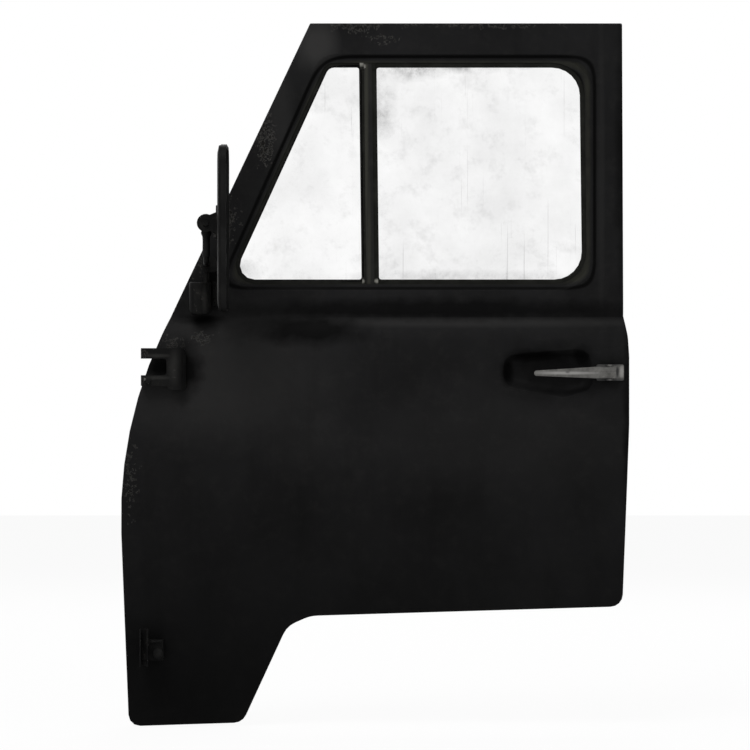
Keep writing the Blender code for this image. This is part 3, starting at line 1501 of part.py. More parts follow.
def build_mirror_arm(paint, pivot):
    """A bent bar from the barrel, out to the stem."""
    hub_y = ARM_AXIS[1] - ARM_REACH
    bend = 14 * MM
    path = [Vector((*ARM_AXIS, ARM_FOOT))]
    corner = Vector((*ARM_AXIS, ARM_HEIGHT))
    out = Vector((STEM_X, hub_y, ARM_HEIGHT))
    path += bent(Vector((*ARM_AXIS, ARM_FOOT)), corner, out, bend)
    path += bent(corner, out, Vector((STEM_X, hub_y, KNUCKLE_Z)), bend)
    path.append(Vector((STEM_X, hub_y, KNUCKLE_Z - 6 * MM)))
    curve = bpy.data.curves.new("mirror_arm", "CURVE")
    curve.dimensions = "3D"
    curve.bevel_depth = ARM_RADIUS
    curve.bevel_resolution = 2
    curve.use_fill_caps = True
    spline = curve.splines.new("POLY")
    spline.points.add(len(path) - 1)
    for point, spot in zip(spline.points, path):
        point.co = (*spot, 1)
    guide = bpy.data.objects.new("mirror_arm_path", curve)
    bpy.context.scene.collection.objects.link(guide)
    bpy.context.view_layer.update()
    mesh = bpy.data.meshes.new_from_object(guide.evaluated_get(bpy.context.evaluated_depsgraph_get()))
    bpy.data.objects.remove(guide)
    bpy.data.curves.remove(curve)
    made = bmesh.new()
    made.from_mesh(mesh)
    bmesh.ops.remove_doubles(made, verts=made.verts, dist=1e-6)
    bmesh.ops.recalc_face_normals(made, faces=made.faces)
    made.to_mesh(mesh)
    made.free()
    arm = smooth(place("mirror_arm", mesh, paint))
    elbow = [
        (ARM_AXIS[0] + 20 * MM, ELBOW_Z[0], 6 * MM, 3),
        (ARM_AXIS[0] + 20 * MM, ELBOW_Z[1], 12 * MM, 3),
        (ARM_AXIS[0] - 8 * MM, ELBOW_Z[1], 6 * MM, 3),
        (ARM_AXIS[0] - 8 * MM, ELBOW_Z[0], 3 * MM, 3),
    ]
    join(
        arm,
        bevel(slab("arm_elbow", [rounded(elbow)], ARM_AXIS[1] - 8 * MM, ARM_AXIS[1] + 8 * MM), 1.5 * MM, 1),
    )
    hang(arm, pivot)


def bent(before, corner, after, radius):
    """Five points round a square bend of the path."""
    first = (before - corner).normalized()
    second = (after - corner).normalized()
    centre = corner + (first + second) * radius
    points = []
    for k in range(5):
        angle = math.pi / 2 * k / 4
        points.append(centre - second * radius * math.cos(angle) - first * radius * math.sin(angle))
    return points


def build_mirror_head(paint, dark, glass, steel, knuckle_pivot, head_pivot):
    hub_y = ARM_AXIS[1] - ARM_REACH
    hub = (STEM_X, hub_y, KNUCKLE_Z)
    knuckle = rod(
        "mirror_knuckle",
        (STEM_X, hub_y - KNUCKLE_HALF, KNUCKLE_Z),
        (STEM_X, hub_y + KNUCKLE_HALF, KNUCKLE_Z),
        KNUCKLE_RADIUS,
        dark,
        sides=20,
    )
    socket = rod(
        "knuckle_socket",
        (STEM_X, hub_y, 0.2),
        (STEM_X, hub_y, KNUCKLE_Z - 5.6 * MM),
        ARM_RADIUS + 0.3 * MM,
        home=CUTTERS,
    )
    cut(knuckle, socket)
    pin_hole = rod(
        "tilt_hole",
        (STEM_X, hub_y - 0.04, KNUCKLE_Z),
        (STEM_X, hub_y + 0.04, KNUCKLE_Z),
        3.3 * MM,
        home=CUTTERS,
        sides=12,
    )
    cut(knuckle, pin_hole)
    hang(knuckle, knuckle_pivot)
    lug_y = KNUCKLE_HALF + 0.5 * MM
    width = hub_y - 30 * MM, hub_y + 30 * MM
    plate = [
        (width[1], CLAMP_Z[0], 8 * MM, 3),
        (width[1], CLAMP_Z[1], 8 * MM, 3),
        (width[0], CLAMP_Z[1], 8 * MM, 3),
        (width[0], CLAMP_Z[0], 8 * MM, 3),
    ]
    clamp = slab("mirror_clamp", [rounded(plate)], *CLAMP_X, paint, axis="X")
    for k, side in enumerate((-1, 1)):
        lug = [
            (CLAMP_X[0] + 2 * MM, KNUCKLE_Z - 21 * MM),
            (CLAMP_X[0] + 2 * MM, KNUCKLE_Z + 21 * MM),
            *arc_points((STEM_X, KNUCKLE_Z), LUG_RADIUS, math.radians(65), math.radians(230), 12),
        ]
        faces = sorted((hub_y + side * lug_y, hub_y + side * (lug_y + 4 * MM)))
        join(clamp, slab(f"clamp_lug_{k}", [lug], *faces))
    cut(clamp, pin_hole)
    hang(clamp, head_pivot)
    pin = rod(
        "mirror_tilt_pin",
        (STEM_X, hub_y - lug_y - 6 * MM, KNUCKLE_Z),
        (STEM_X, hub_y + lug_y + 6 * MM, KNUCKLE_Z),
        3 * MM,
        steel,
        sides=12,
    )
    join(
        pin,
        rod(
            "tilt_pin_head",
            (STEM_X, hub_y - lug_y - 8 * MM, KNUCKLE_Z),
            (STEM_X, hub_y - lug_y - 4.3 * MM, KNUCKLE_Z),
            6 * MM,
            sides=6,
        ),
    )
    join(
        pin,
        rod(
            "tilt_pin_nut",
            (STEM_X, hub_y + lug_y + 4.3 * MM, KNUCKLE_Z),
            (STEM_X, hub_y + lug_y + 8 * MM, KNUCKLE_Z),
            6 * MM,
            sides=6,
        ),
    )
    hang(pin, head_pivot)
    half = MIRROR_WIDTH / 2
    outline = box_corners(hub_y - half, hub_y + half, *MIRROR_Z, MIRROR_RADIUS, 5)
    made = bmesh.new()
    rings = []
    rows = ((1.2 * MM, RIM_X - CLEAR), (2 * MM, MIRROR_X[0] + 2.7 * MM), (14 * MM, MIRROR_X[0]))
    for inset, x in rows:
        rings.append([made.verts.new((x, u, v)) for u, v in rounded(outline, inset)])
    for outer, inner in zip(rings, rings[1:]):
        bridge(made, outer, inner)
    made.faces.new(rings[-1])
    bmesh.ops.recalc_face_normals(made, faces=made.faces)
    largest = max(made.faces, key=lambda face: face.calc_area())
    if largest.normal.x > 0:
        bmesh.ops.reverse_faces(made, faces=made.faces)
    mesh = bpy.data.meshes.new("mirror_shell")
    made.to_mesh(mesh)
    made.free()
    shell = place("mirror_shell", mesh, paint)
    skin = shell.modifiers.new("sheet", "SOLIDIFY")
    skin.thickness = 1 * MM
    skin.offset = -1
    skin.use_even_offset = True
    hang(smooth(shell), head_pivot)
    rim = slab(
        "mirror_rim",
        [rounded(outline), rounded(outline, MIRROR_RIM)],
        RIM_X,
        MIRROR_X[1],
        dark,
        axis="X",
    )
    lip = slab(
        "rim_lip",
        [rounded(outline, MIRROR_RIM - 1.8 * MM), rounded(outline, 20 * MM)],
        0.1,
        PANE_X[1] + CLEAR,
        home=CUTTERS,
        axis="X",
    )
    cut(rim, lip)
    hang(rim, head_pivot)
    pane = slab("mirror_glass", [rounded(outline, MIRROR_RIM - 1.5 * MM)], *PANE_X, glass, axis="X")
    hang(pane, head_pivot)
    return hub


# Access cover


def cover_screw_places():
    places = []
    for x in (HATCH_X[0] - HATCH_LAP / 2, HATCH_X[1] + HATCH_LAP / 2):
        for z in (HATCH_Z[0] + 20 * MM, HATCH_Z[1] - 20 * MM):
            places.append((x, z))
    return places


def build_access_cover(paint, steel):
    left, right = HATCH_X[0] - HATCH_LAP, HATCH_X[1] + HATCH_LAP
    corners = box_corners(left, right, HATCH_Z[0] - HATCH_LAP, HATCH_Z[1] + HATCH_LAP, 14 * MM, 3)
    holes = [circle(x, z, 2.6 * MM, 8) for x, z in cover_screw_places()]
    slab(
        "access_cover",
        [rounded(corners), *holes],
        INNER_BODY_Y + CLEAR,
        INNER_BODY_Y + CLEAR + 1.5 * MM,
        paint,
    )
    for k, (x, z) in enumerate(cover_screw_places()):
        screw_of(f"cover_screw_{k + 1}", x, z, INNER_BODY_Y + 2 * CLEAR + 1.5 * MM, steel)


def build():
    for obj in list(bpy.data.objects):
        bpy.data.objects.remove(obj)
    bpy.context.scene.collection.children.link(PART)
    bpy.context.scene.collection.children.link(CUTTERS)
    CUTTERS.hide_render = True
    paint = material("door_paint", (0.012, 0.012, 0.013), 0.55)
    inside_paint = material("inside_paint", (0.016, 0.016, 0.017), 0.6)
    hinge_paint = material("hinge_paint", (0.018, 0.018, 0.018), 0.6, 0.3)
    rubber = material("seal_rubber", (0.010, 0.010, 0.008), 0.8)
    felt = material("run_felt", (0.02, 0.02, 0.018), 0.9)
    glass = material("window_glass", (0.85, 0.88, 0.87), 0.05)
    steel = material("plated_steel", (0.35, 0.34, 0.32), 0.4, 1.0)
    chrome = material("worn_chrome", (0.28, 0.27, 0.25), 0.35, 1.0)
    plastic = material("black_plastic", (0.02, 0.02, 0.02), 0.5)
    mirror = material("mirror_silver", (0.8, 0.8, 0.8), 0.03, 1.0)
    build_outer_skin(paint)
    build_inner_panel(inside_paint)
    build_door_seal(rubber)
    build_vent_seal(rubber)
    build_main_seal(rubber)
    build_division_bar(paint)
    build_lower_run("front_run_channel", MAIN_FRONT_X, -1, felt)
    build_lower_run("rear_run_channel", MAIN_REAR_X, 1, felt)
    build_vent_bracket(steel)
    build_vent(hinge_paint, glass, pivot_at("vent_pivot", *axis_point(WINDOW_MIDDLE)))
    build_main_glass(glass, steel, pivot_at("glass_slide", 0.64, GLASS_Y, WINDOW_MIDDLE))
    arm_pivot = pivot_at("arm_pivot", ARM_PIVOT[0], ARM_Y[0], ARM_PIVOT[1])
    tip = build_regulator_arm(steel, arm_pivot)
    build_roller(tip, plastic, pivot_at("roller_pivot", tip[0], ARM_Y[0], tip[1]))
    build_regulator_plate(steel)
    for k, (x, z) in enumerate(regulator_screw_places()):
        screw_of(f"regulator_screw_{k + 1}", x, z, INNER_BODY_Y + CLEAR, steel, depth=9 * MM)
    crank_pivot = pivot_at("crank_pivot", PINION[0], ARM_Y[0], PINION[1])
    knob_at = knob_place()
    build_winder(steel, chrome, plastic, crank_pivot, pivot_at("knob_pivot", knob_at[0], 0.11, knob_at[1]))
    build_escutcheon("winder_escutcheon", PINION, 26 * MM, plastic)
    build_latch(steel, hinge_paint, pivot_at("rotor_pivot", 0.9, *ROTOR_PLACE))
    spindle_pivot = pivot_at("spindle_pivot", SPINDLE[0], 0.08, SPINDLE[1])
    rod_pivot = pivot_at("rod_slide", SPINDLE[0], ROD_Y[0], SPINDLE[1] + ROD_ARM)
    build_inside_handle(chrome, steel, spindle_pivot, rod_pivot)
    build_escutcheon("handle_escutcheon", SPINDLE, 28 * MM, plastic)
    build_outside_handle(chrome, pivot_at("handle_pivot", *HANDLE_PIN, HANDLE_Z))
    build_upper_hinge(hinge_paint, steel)
    build_lower_hinge(hinge_paint, steel)
    build_mirror_bracket(hinge_paint, steel)
    build_mirror_arm(hinge_paint, pivot_at("mirror_arm_pivot", *ARM_AXIS, BARREL_Z[1]))
    hub = (STEM_X, ARM_AXIS[1] - ARM_REACH, KNUCKLE_Z)
    knuckle_pivot = pivot_at("mirror_knuckle_pivot", *hub)
    head_pivot = pivot_at("mirror_tilt_pivot", *hub)
    build_mirror_head(hinge_paint, plastic, mirror, steel, knuckle_pivot, head_pivot)
    build_access_cover(inside_paint, steel)


build()
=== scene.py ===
import json
import math

import bmesh
import bpy
from mathutils import Matrix, Vector


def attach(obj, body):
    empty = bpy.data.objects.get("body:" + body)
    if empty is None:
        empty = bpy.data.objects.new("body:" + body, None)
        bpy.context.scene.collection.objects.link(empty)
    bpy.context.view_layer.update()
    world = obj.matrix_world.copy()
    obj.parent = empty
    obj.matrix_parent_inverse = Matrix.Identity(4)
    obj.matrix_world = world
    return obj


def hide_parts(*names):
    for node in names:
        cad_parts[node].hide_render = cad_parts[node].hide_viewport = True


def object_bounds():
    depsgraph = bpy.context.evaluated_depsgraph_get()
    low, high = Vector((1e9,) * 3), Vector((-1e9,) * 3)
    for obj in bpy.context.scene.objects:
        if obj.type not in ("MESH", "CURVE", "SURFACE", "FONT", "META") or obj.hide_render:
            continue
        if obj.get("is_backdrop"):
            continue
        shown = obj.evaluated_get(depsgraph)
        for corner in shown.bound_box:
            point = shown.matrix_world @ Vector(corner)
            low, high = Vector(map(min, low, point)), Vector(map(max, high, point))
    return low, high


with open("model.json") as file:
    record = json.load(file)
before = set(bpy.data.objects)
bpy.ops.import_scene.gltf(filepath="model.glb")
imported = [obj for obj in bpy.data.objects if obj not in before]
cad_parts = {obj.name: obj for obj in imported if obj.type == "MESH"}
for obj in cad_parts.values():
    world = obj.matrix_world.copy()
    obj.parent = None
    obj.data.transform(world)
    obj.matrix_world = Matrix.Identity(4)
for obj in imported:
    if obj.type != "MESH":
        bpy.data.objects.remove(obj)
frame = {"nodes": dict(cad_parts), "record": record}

nodes = frame["nodes"]
cad_low, cad_high = (Vector(corner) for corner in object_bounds())

# The studio: a pale floor under the door, a white surround and soft light from the front and above.
# The camera stands square to the outer skin with a long lens, as the photograph does.
scene = bpy.context.scene
scene.view_settings.view_transform = "Standard"
LENS = 200
SENSOR = 36
CLIP_END = 60
VIEW_WIDTH = 1.425
VIEW_CENTRE = (0.4351, -0.0152)
SKIN_FACE = 0.013
SURROUND_LIGHT = 0.34
FLOOR_HALF = 12
FLOOR_DROP = 0.0005
FLOOR_WHITE = 0.93
FLOOR_GREY = (0.86, 0.86, 0.86, 1)
WHITE = (1, 1, 1, 1)
DOOR_MIDDLE_Y = 0.03
camera_data = bpy.data.cameras.new("camera")
camera_data.lens = LENS
camera_data.sensor_width = SENSOR
camera_data.clip_end = CLIP_END
camera = bpy.data.objects.new("camera", camera_data)
camera.location = (VIEW_CENTRE[0], SKIN_FACE - VIEW_WIDTH * LENS / SENSOR, VIEW_CENTRE[1])
camera.rotation_euler = (math.pi / 2, 0, 0)
scene.collection.objects.link(camera)
scene.camera = camera


def seen_rays(tree):
    """A mask of the rays that look at the surround: from the camera, through glass and off gloss."""
    path = tree.nodes.new("ShaderNodeLightPath")
    through = tree.nodes.new("ShaderNodeMath")
    through.operation = "MAXIMUM"
    tree.links.new(path.outputs["Is Camera Ray"], through.inputs[0])
    tree.links.new(path.outputs["Is Transmission Ray"], through.inputs[1])
    seen = tree.nodes.new("ShaderNodeMath")
    seen.operation = "MAXIMUM"
    tree.links.new(path.outputs["Is Glossy Ray"], seen.inputs[0])
    tree.links.new(through.outputs[0], seen.inputs[1])
    return seen.outputs[0]


def placed(name, made):
    """The finished bmesh as an object of its own, at the origin."""
    mesh = bpy.data.meshes.new(name)
    made.to_mesh(mesh)
    made.free()
    piece = bpy.data.objects.new(name, mesh)
    scene.collection.objects.link(piece)
    return piece


world = bpy.data.worlds.new("surround")
world.use_nodes = True
scene.world = world
tree = world.node_tree
strength = tree.nodes.new("ShaderNodeMapRange")
strength.inputs["To Min"].default_value = SURROUND_LIGHT
strength.inputs["To Max"].default_value = 1.0
tree.links.new(seen_rays(tree), strength.inputs["Value"])
tree.links.new(strength.outputs["Result"], tree.nodes["Background"].inputs["Strength"])
tree.nodes["Background"].inputs["Color"].default_value = WHITE

made = bmesh.new()
bmesh.ops.create_grid(made, x_segments=1, y_segments=1, size=FLOOR_HALF)
bmesh.ops.translate(made, vec=(VIEW_CENTRE[0], 0, cad_low.z - FLOOR_DROP), verts=made.verts)
floor = placed("floor", made)
floor_paint = bpy.data.materials.new("pale_floor")
floor_paint.use_nodes = True
tree = floor_paint.node_tree
shader = tree.nodes["Principled BSDF"]
shader.inputs["Base Color"].default_value = FLOOR_GREY
shader.inputs["Roughness"].default_value = 0.8
shader.inputs["Specular IOR Level"].default_value = 0.0
glow = tree.nodes.new("ShaderNodeEmission")
glow.inputs["Color"].default_value = WHITE
share = tree.nodes.new("ShaderNodeMath")
share.operation = "MULTIPLY"
share.inputs[1].default_value = FLOOR_WHITE
tree.links.new(seen_rays(tree), share.inputs[0])
mix = tree.nodes.new("ShaderNodeMixShader")
tree.links.new(share.outputs[0], mix.inputs["Fac"])
tree.links.new(shader.outputs[0], mix.inputs[1])
tree.links.new(glow.outputs[0], mix.inputs[2])
tree.links.new(mix.outputs[0], tree.nodes["Material Output"].inputs["Surface"])
floor.data.materials.append(floor_paint)
floor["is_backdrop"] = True

for name, place, size, watts in (
    ("front_light", (-0.9, -2.9, 4.2), 2.4, 170),
    ("side_light", (3.4, -3.6, 1.6), 2.4, 30),
    ("cab_light", (0.8, 4.2, 2.8), 2.6, 110),
):
    lamp_data = bpy.data.lights.new(name, "AREA")
    lamp_data.size = size
    lamp_data.energy = watts
    lamp = bpy.data.objects.new(name, lamp_data)
    lamp.location = place
    aim = Vector((VIEW_CENTRE[0], DOOR_MIDDLE_Y, 0)) - Vector(place)
    lamp.rotation_euler = aim.to_track_quat("-Z", "Y").to_euler()
    scene.collection.objects.link(lamp)

# The outer skin is one deep-drawn sheet of mild steel, folded over the inner panel all round its edge.
# Its satin black paint is old: cloudy and dusty, with stone chips along the front pillar, the top edge and
# round the mirror foot. Painted shade darkens it beside the upper hinge and the mirror foot, in the handle
# dish, above the belt, round the window crease and down the rear edge. It darkens towards the bottom with
# painted shade and road dirt together, and its paler strips and patches are painted highlights, partly on
# faded paint.
bodies = frame["record"]["behaviour"]["bodies"]
body_of = {name: body for body, members in bodies.items() for name in members}
SAME_POINT = 1e-6
FLAT_WITHIN = math.radians(0.05)


def merged_copy(name, angle, edge=0.0):
    """A piece that stands for a CAD node: its faces joined and shaded round, with softened edges.

    Edges sharper than angle, in degrees, stay sharp. edge is the width of their rounding in metres."""
    made = bmesh.new()
    made.from_mesh(nodes[name].data)
    bmesh.ops.remove_doubles(made, verts=made.verts, dist=SAME_POINT)
    bmesh.ops.dissolve_limit(made, angle_limit=FLAT_WITHIN, verts=made.verts, edges=made.edges)
    piece = placed(name + "_finished", made)
    piece.data.shade_smooth()
    piece.data.set_sharp_from_angle(angle=math.radians(angle))
    if edge:
        rounding = piece.modifiers.new("edge", "BEVEL")
        rounding.width = edge
        rounding.segments = 2
        rounding.limit_method = "ANGLE"
        rounding.angle_limit = math.radians(max(angle, 30))
    shading = piece.modifiers.new("flat_faces", "WEIGHTED_NORMAL")
    shading.keep_sharp = True
    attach(piece, body_of[name])
    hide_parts(name)
    return piece


def add_node(tree, kind, inputs=None, **settings):
    made = tree.nodes.new(kind)
    for name, value in settings.items():
        setattr(made, name, value)
    for name, value in (inputs or {}).items():
        if isinstance(value, bpy.types.NodeSocket):
            tree.links.new(value, made.inputs[name])
        else:
            made.inputs[name].default_value = value
    return made


def calculate(tree, operation, first, second, clamp=False):
    inputs = {0: first, 1: second}
    return add_node(tree, "ShaderNodeMath", inputs, operation=operation, use_clamp=clamp).outputs[0]


def mapped(tree, value, low, high, start=0.0, end=1.0):
    inputs = {"Value": value, "From Min": low, "From Max": high, "To Min": start, "To Max": end}
    return add_node(tree, "ShaderNodeMapRange", inputs).outputs["Result"]


def mixed(tree, share, first, second):
    made = add_node(tree, "ShaderNodeMix", data_type="RGBA")
    for socket, value in ((made.inputs[0], share), (made.inputs[6], first), (made.inputs[7], second)):
        if isinstance(value, bpy.types.NodeSocket):
            tree.links.new(value, socket)
        else:
            socket.default_value = value
    return made.outputs[2]


def noise(tree, vector, scale, detail=4.0, roughness=0.55):
    inputs = {"Vector": vector, "Scale": scale, "Detail": detail, "Roughness": roughness}
    return add_node(tree, "ShaderNodeTexNoise", inputs).outputs["Fac"]


def stretched(tree, vector, scale, turn=(0.0, 0.0, 0.0)):
    inputs = {"Vector": vector, "Scale": scale, "Rotation": turn}
    return add_node(tree, "ShaderNodeMapping", inputs).outputs["Vector"]


def new_group(name, inputs, outputs):
    group = bpy.data.node_groups.new(name, "ShaderNodeTree")
    for label, kind, value in inputs:
        group.interface.new_socket(name=label, in_out="INPUT", socket_type=kind).default_value = value
    for label, kind in outputs:
        group.interface.new_socket(name=label, in_out="OUTPUT", socket_type=kind)
    return group


def use_group(tree, group, inputs):
    return add_node(tree, "ShaderNodeGroup", inputs, node_tree=group)


def new_material(name):
    made = bpy.data.materials.new(name)
    made.use_nodes = True
    tree = made.node_tree
    place = tree.nodes.new("ShaderNodeTexCoord").outputs["Object"]
    return made, tree, tree.nodes["Principled BSDF"], place


def bump(tree, shader, height, strength, distance):
    inputs = {"Height": height, "Strength": strength, "Distance": distance}
    made = add_node(tree, "ShaderNodeBump", inputs)
    tree.links.new(made.outputs["Normal"], shader.inputs["Normal"])


COLOUR = "NodeSocketColor"
VALUE = "NodeSocketFloat"
VECTOR = "NodeSocketVector"
STREAK_BLACK = (0.0045, 0.0045, 0.0045, 1)
ROAD_DUST = (0.03, 0.029, 0.027, 1)
SCRATCH_GREY = (0.04, 0.04, 0.038, 1)
PIT_BLACK = (0.0008, 0.0007, 0.0006, 1)
DIRT_AND_SHADE_BLACK = (0.0012, 0.0012, 0.0012, 1)
HIGHLIGHT_AND_FADED_GREY = (0.032, 0.0315, 0.031, 1)
OLIVE_FILM_AND_HIGHLIGHT = (0.027, 0.027, 0.021, 1)
old_paint = new_group(
    "old_paint",
    [
        ("Place", VECTOR, (0, 0, 0)),
        ("Paint", COLOUR, (0.0074, 0.0074, 0.0075, 1)),
        ("Faded", COLOUR, (0.0115, 0.0115, 0.0118, 1)),
        ("Chipped", COLOUR, (0.075, 0.073, 0.068, 1)),
        ("Chips", VALUE, 0.0),
        ("Dust", VALUE, 0.3),
    ],
    [("Colour", COLOUR), ("Roughness", VALUE), ("Height", VALUE)],
)
tree = old_paint
given = tree.nodes.new("NodeGroupInput").outputs
place = given["Place"]
cloud = mapped(tree, noise(tree, place, 4.5, 5.0), 0.35, 0.68)
colour = mixed(tree, cloud, given["Paint"], given["Faded"])
streaks = noise(tree, stretched(tree, place, (26, 26, 3.2)), 1.0, 6.0)
colour = mixed(tree, mapped(tree, streaks, 0.52, 0.8, 0.0, 0.45), colour, STREAK_BLACK)
dust = mapped(tree, noise(tree, place, 42, 8.0, 0.7), 0.5, 0.82)
dust = calculate(tree, "MULTIPLY", dust, given["Dust"])
colour = mixed(tree, dust, colour, ROAD_DUST)
scratch = noise(tree, stretched(tree, place, (2.5, 2.5, 190), (0, 0.6, 0)), 1.0, 3.0)
scratch = mapped(tree, scratch, 0.70, 0.76, 0.0, 0.35)
scratch = calculate(tree, "MULTIPLY", scratch, given["Dust"])
colour = mixed(tree, scratch, colour, SCRATCH_GREY)
flaking = noise(tree, place, 120, 6.0, 0.66)
limit = mapped(tree, given["Chips"], 0.0, 1.0, 0.80, 0.475)
chip = calculate(tree, "MULTIPLY", calculate(tree, "SUBTRACT", flaking, limit), 30.0, True)
pit_limit = calculate(tree, "ADD", limit, 0.025)
pit = calculate(tree, "MULTIPLY", calculate(tree, "SUBTRACT", flaking, pit_limit), 40.0, True)
colour = mixed(tree, chip, colour, given["Chipped"])
colour = mixed(tree, calculate(tree, "MULTIPLY", pit, 0.9), colour, PIT_BLACK)
rough = mapped(tree, noise(tree, place, 9, 6.0), 0.3, 0.75, 0.42, 0.62)
rough = calculate(tree, "ADD", rough, calculate(tree, "MULTIPLY", chip, 0.2), True)
height = calculate(tree, "MULTIPLY", noise(tree, place, 320, 3.0), 0.25)
height = calculate(tree, "SUBTRACT", height, calculate(tree, "MULTIPLY", chip, 0.8))
result = tree.nodes.new("NodeGroupOutput")
tree.links.new(colour, result.inputs["Colour"])
tree.links.new(rough, result.inputs["Roughness"])
tree.links.new(height, result.inputs["Height"])


def marks(tree, place, spots, ragged):
    """The strongest of several soft marks, each (centre, reach in X, Y and Z, strength), in metres."""
    waver = calculate(tree, "SUBTRACT", noise(tree, place, 38, 5.0), 0.5)
    waver = calculate(tree, "MULTIPLY", waver, ragged)
    total = 0.0
    for centre, reach, strength in spots:
        inputs = {0: place, 1: centre}
        offset = add_node(tree, "ShaderNodeVectorMath", inputs, operation="SUBTRACT").outputs[0]
        inputs = {0: offset, 1: tuple(1 / length for length in reach)}
        scaled = add_node(tree, "ShaderNodeVectorMath", inputs, operation="MULTIPLY").outputs[0]
        far = add_node(tree, "ShaderNodeVectorMath", {0: scaled}, operation="LENGTH").outputs["Value"]
        far = calculate(tree, "ADD", far, waver)
        total = calculate(tree, "MAXIMUM", total, mapped(tree, far, 1.0, 0.35, 0.0, strength))
    return total


skin_chips = (
    ((0.62, 0.03, 0.655), (0.33, 0.2, 0.022), 0.85),
    ((0.40, 0.03, 0.652), (0.09, 0.2, 0.03), 1.0),
    ((0.45, 0.03, 0.625), (0.06, 0.2, 0.02), 0.8),
    ((0.225, 0.03, 0.44), (0.035, 0.2, 0.11), 1.0),
    ((0.15, 0.03, 0.27), (0.05, 0.2, 0.08), 0.95),
    ((0.09, 0.03, 0.20), (0.05, 0.2, 0.05), 0.9),
    ((0.105, 0.03, 0.055), (0.05, 0.2, 0.028), 0.98),
    ((0.05, 0.03, 0.045), (0.04, 0.2, 0.03), 0.9),
    ((-0.03, 0.03, -0.21), (0.028, 0.2, 0.14), 0.8),
    ((0.91, 0.03, 0.36), (0.012, 0.2, 0.26), 0.5),
)
# Dark marks on the skin, each (centre, reach in X, Y and Z, strength). Most are painted shade: the band above
# the belt where the frame meets the shoulder, the shadow right of the upper hinge and between its arms, the
# shadow under and right of the mirror foot, the shade inside the handle dish and round the handle base, the
# dark strips down the rear edge and the darkening at the toe. The patch right of the mirror foot, the patch
# at the lower hinge and the thin line at the sill are darker patches.
skin_grime_and_shade = (
    ((0.310, 0.03, 0.072), (0.14, 0.2, 0.038), 0.9),
    ((0.56, 0.03, 0.110), (0.60, 0.2, 0.026), 0.75),
    ((0.078, 0.02, -0.005), (0.036, 0.2, 0.068), 0.95),
    ((0.100, 0.02, 0.092), (0.060, 0.2, 0.014), 0.9),
    ((0.128, 0.02, 0.150), (0.022, 0.2, 0.080), 0.8),
    ((0.775, 0.03, -0.012), (0.125, 0.2, 0.070), 0.62),
    ((0.740, 0.03, 0.020), (0.080, 0.2, 0.020), 0.95),
    ((0.688, 0.03, -0.008), (0.020, 0.2, 0.040), 0.95),
    ((0.828, 0.03, 0.018), (0.030, 0.2, 0.030), 0.85),
    ((0.030, 0.03, 0.000), (0.034, 0.2, 0.024), 1.0),
    ((0.885, 0.02, -0.010), (0.045, 0.2, 0.035), 0.7),
    ((0.02, 0.04, -0.53), (0.05, 0.2, 0.06), 0.6),
    ((0.20, 0.03, -0.66), (0.5, 0.2, 0.05), 0.45),
    ((0.60, 0.03, -0.48), (0.55, 0.2, 0.04), 0.35),
    ((0.921, 0.03, -0.14), (0.018, 0.2, 0.42), 0.85),
    ((0.914, 0.03, 0.42), (0.026, 0.2, 0.36), 0.8),
    ((0.60, 0.03, -0.472), (0.42, 0.2, 0.014), 0.7),
)
door_paint, tree, shader, place = new_material("door_paint_finish")
shader.inputs["Specular IOR Level"].default_value = 0.022
height_up = add_node(tree, "ShaderNodeSeparateXYZ", {"Vector": place}).outputs["Z"]
# The paint darkens towards the bottom: painted shade for the light falling off down the tucked-under lower
# body, together with road dirt.
bottom_dirt_and_shade = mapped(tree, height_up, -0.10, -0.62, 0.0, 0.72)
CREASE_CORNER = 0.07
BODY_LINE = (0.128, 0.136)
# Each side of the crease round the windows: a point on it and the way out of it.
crease_sides = (
    ((0.8595, 0.0, 0.37), (1.0, 0.0, 0.0)),
    ((0.60, 0.0, 0.5976), (0.0, 0.0, 1.0)),
    ((0.229, 0.0, 0.371), (-0.9126, 0.0, 0.4089)),
    ((0.50, 0.0, 0.144), (0.0, 0.0, -1.0)),
)
out_of_crease = -1.0
for corner, outward in crease_sides:
    inputs = {0: place, 1: corner}
    offset = add_node(tree, "ShaderNodeVectorMath", inputs, operation="SUBTRACT").outputs[0]
    inputs = {0: offset, 1: outward}
    out = add_node(tree, "ShaderNodeVectorMath", inputs, operation="DOT_PRODUCT").outputs["Value"]
    inputs = {0: out_of_crease, 1: out, 2: CREASE_CORNER}
    out_of_crease = add_node(tree, "ShaderNodeMath", inputs, operation="SMOOTH_MAX").outputs[0]
above_body = mapped(tree, height_up, *BODY_LINE)


def line_in_recess(depth, fades_from, full_within, strength):
    """A line round the window opening, at a depth inside the crease, on the frame alone."""
    far = calculate(tree, "ABSOLUTE", calculate(tree, "ADD", out_of_crease, depth), 0.0)
    line = mapped(tree, far, fades_from, full_within, 0.0, strength)
    return calculate(tree, "MULTIPLY", line, above_body)


# Painted shade: a dark line in the crease round the windows and another at the inner edge of the recess, by
# the rubber.
crease_shade_line = line_in_recess(0.006, 0.0045, 0.0015, 0.95)
inner_shade_line = line_in_recess(0.0275, 0.0035, 0.001, 0.85)
# Dark marks, the darkening towards the bottom and the crease lines join here: painted shade for the most
# part, with some dirt.
grime_and_shade = calculate(tree, "MAXIMUM", marks(tree, place, skin_grime_and_shade, 0.8), bottom_dirt_and_shade)
grime_and_shade = calculate(tree, "MAXIMUM", grime_and_shade, crease_shade_line)
grime_and_shade = calculate(tree, "MAXIMUM", grime_and_shade, inner_shade_line)
inputs = {
    "Place": place,
    "Chips": marks(tree, place, skin_chips, 0.8),
    "Dust": 0.22,
}
finish = use_group(tree, old_paint, inputs)
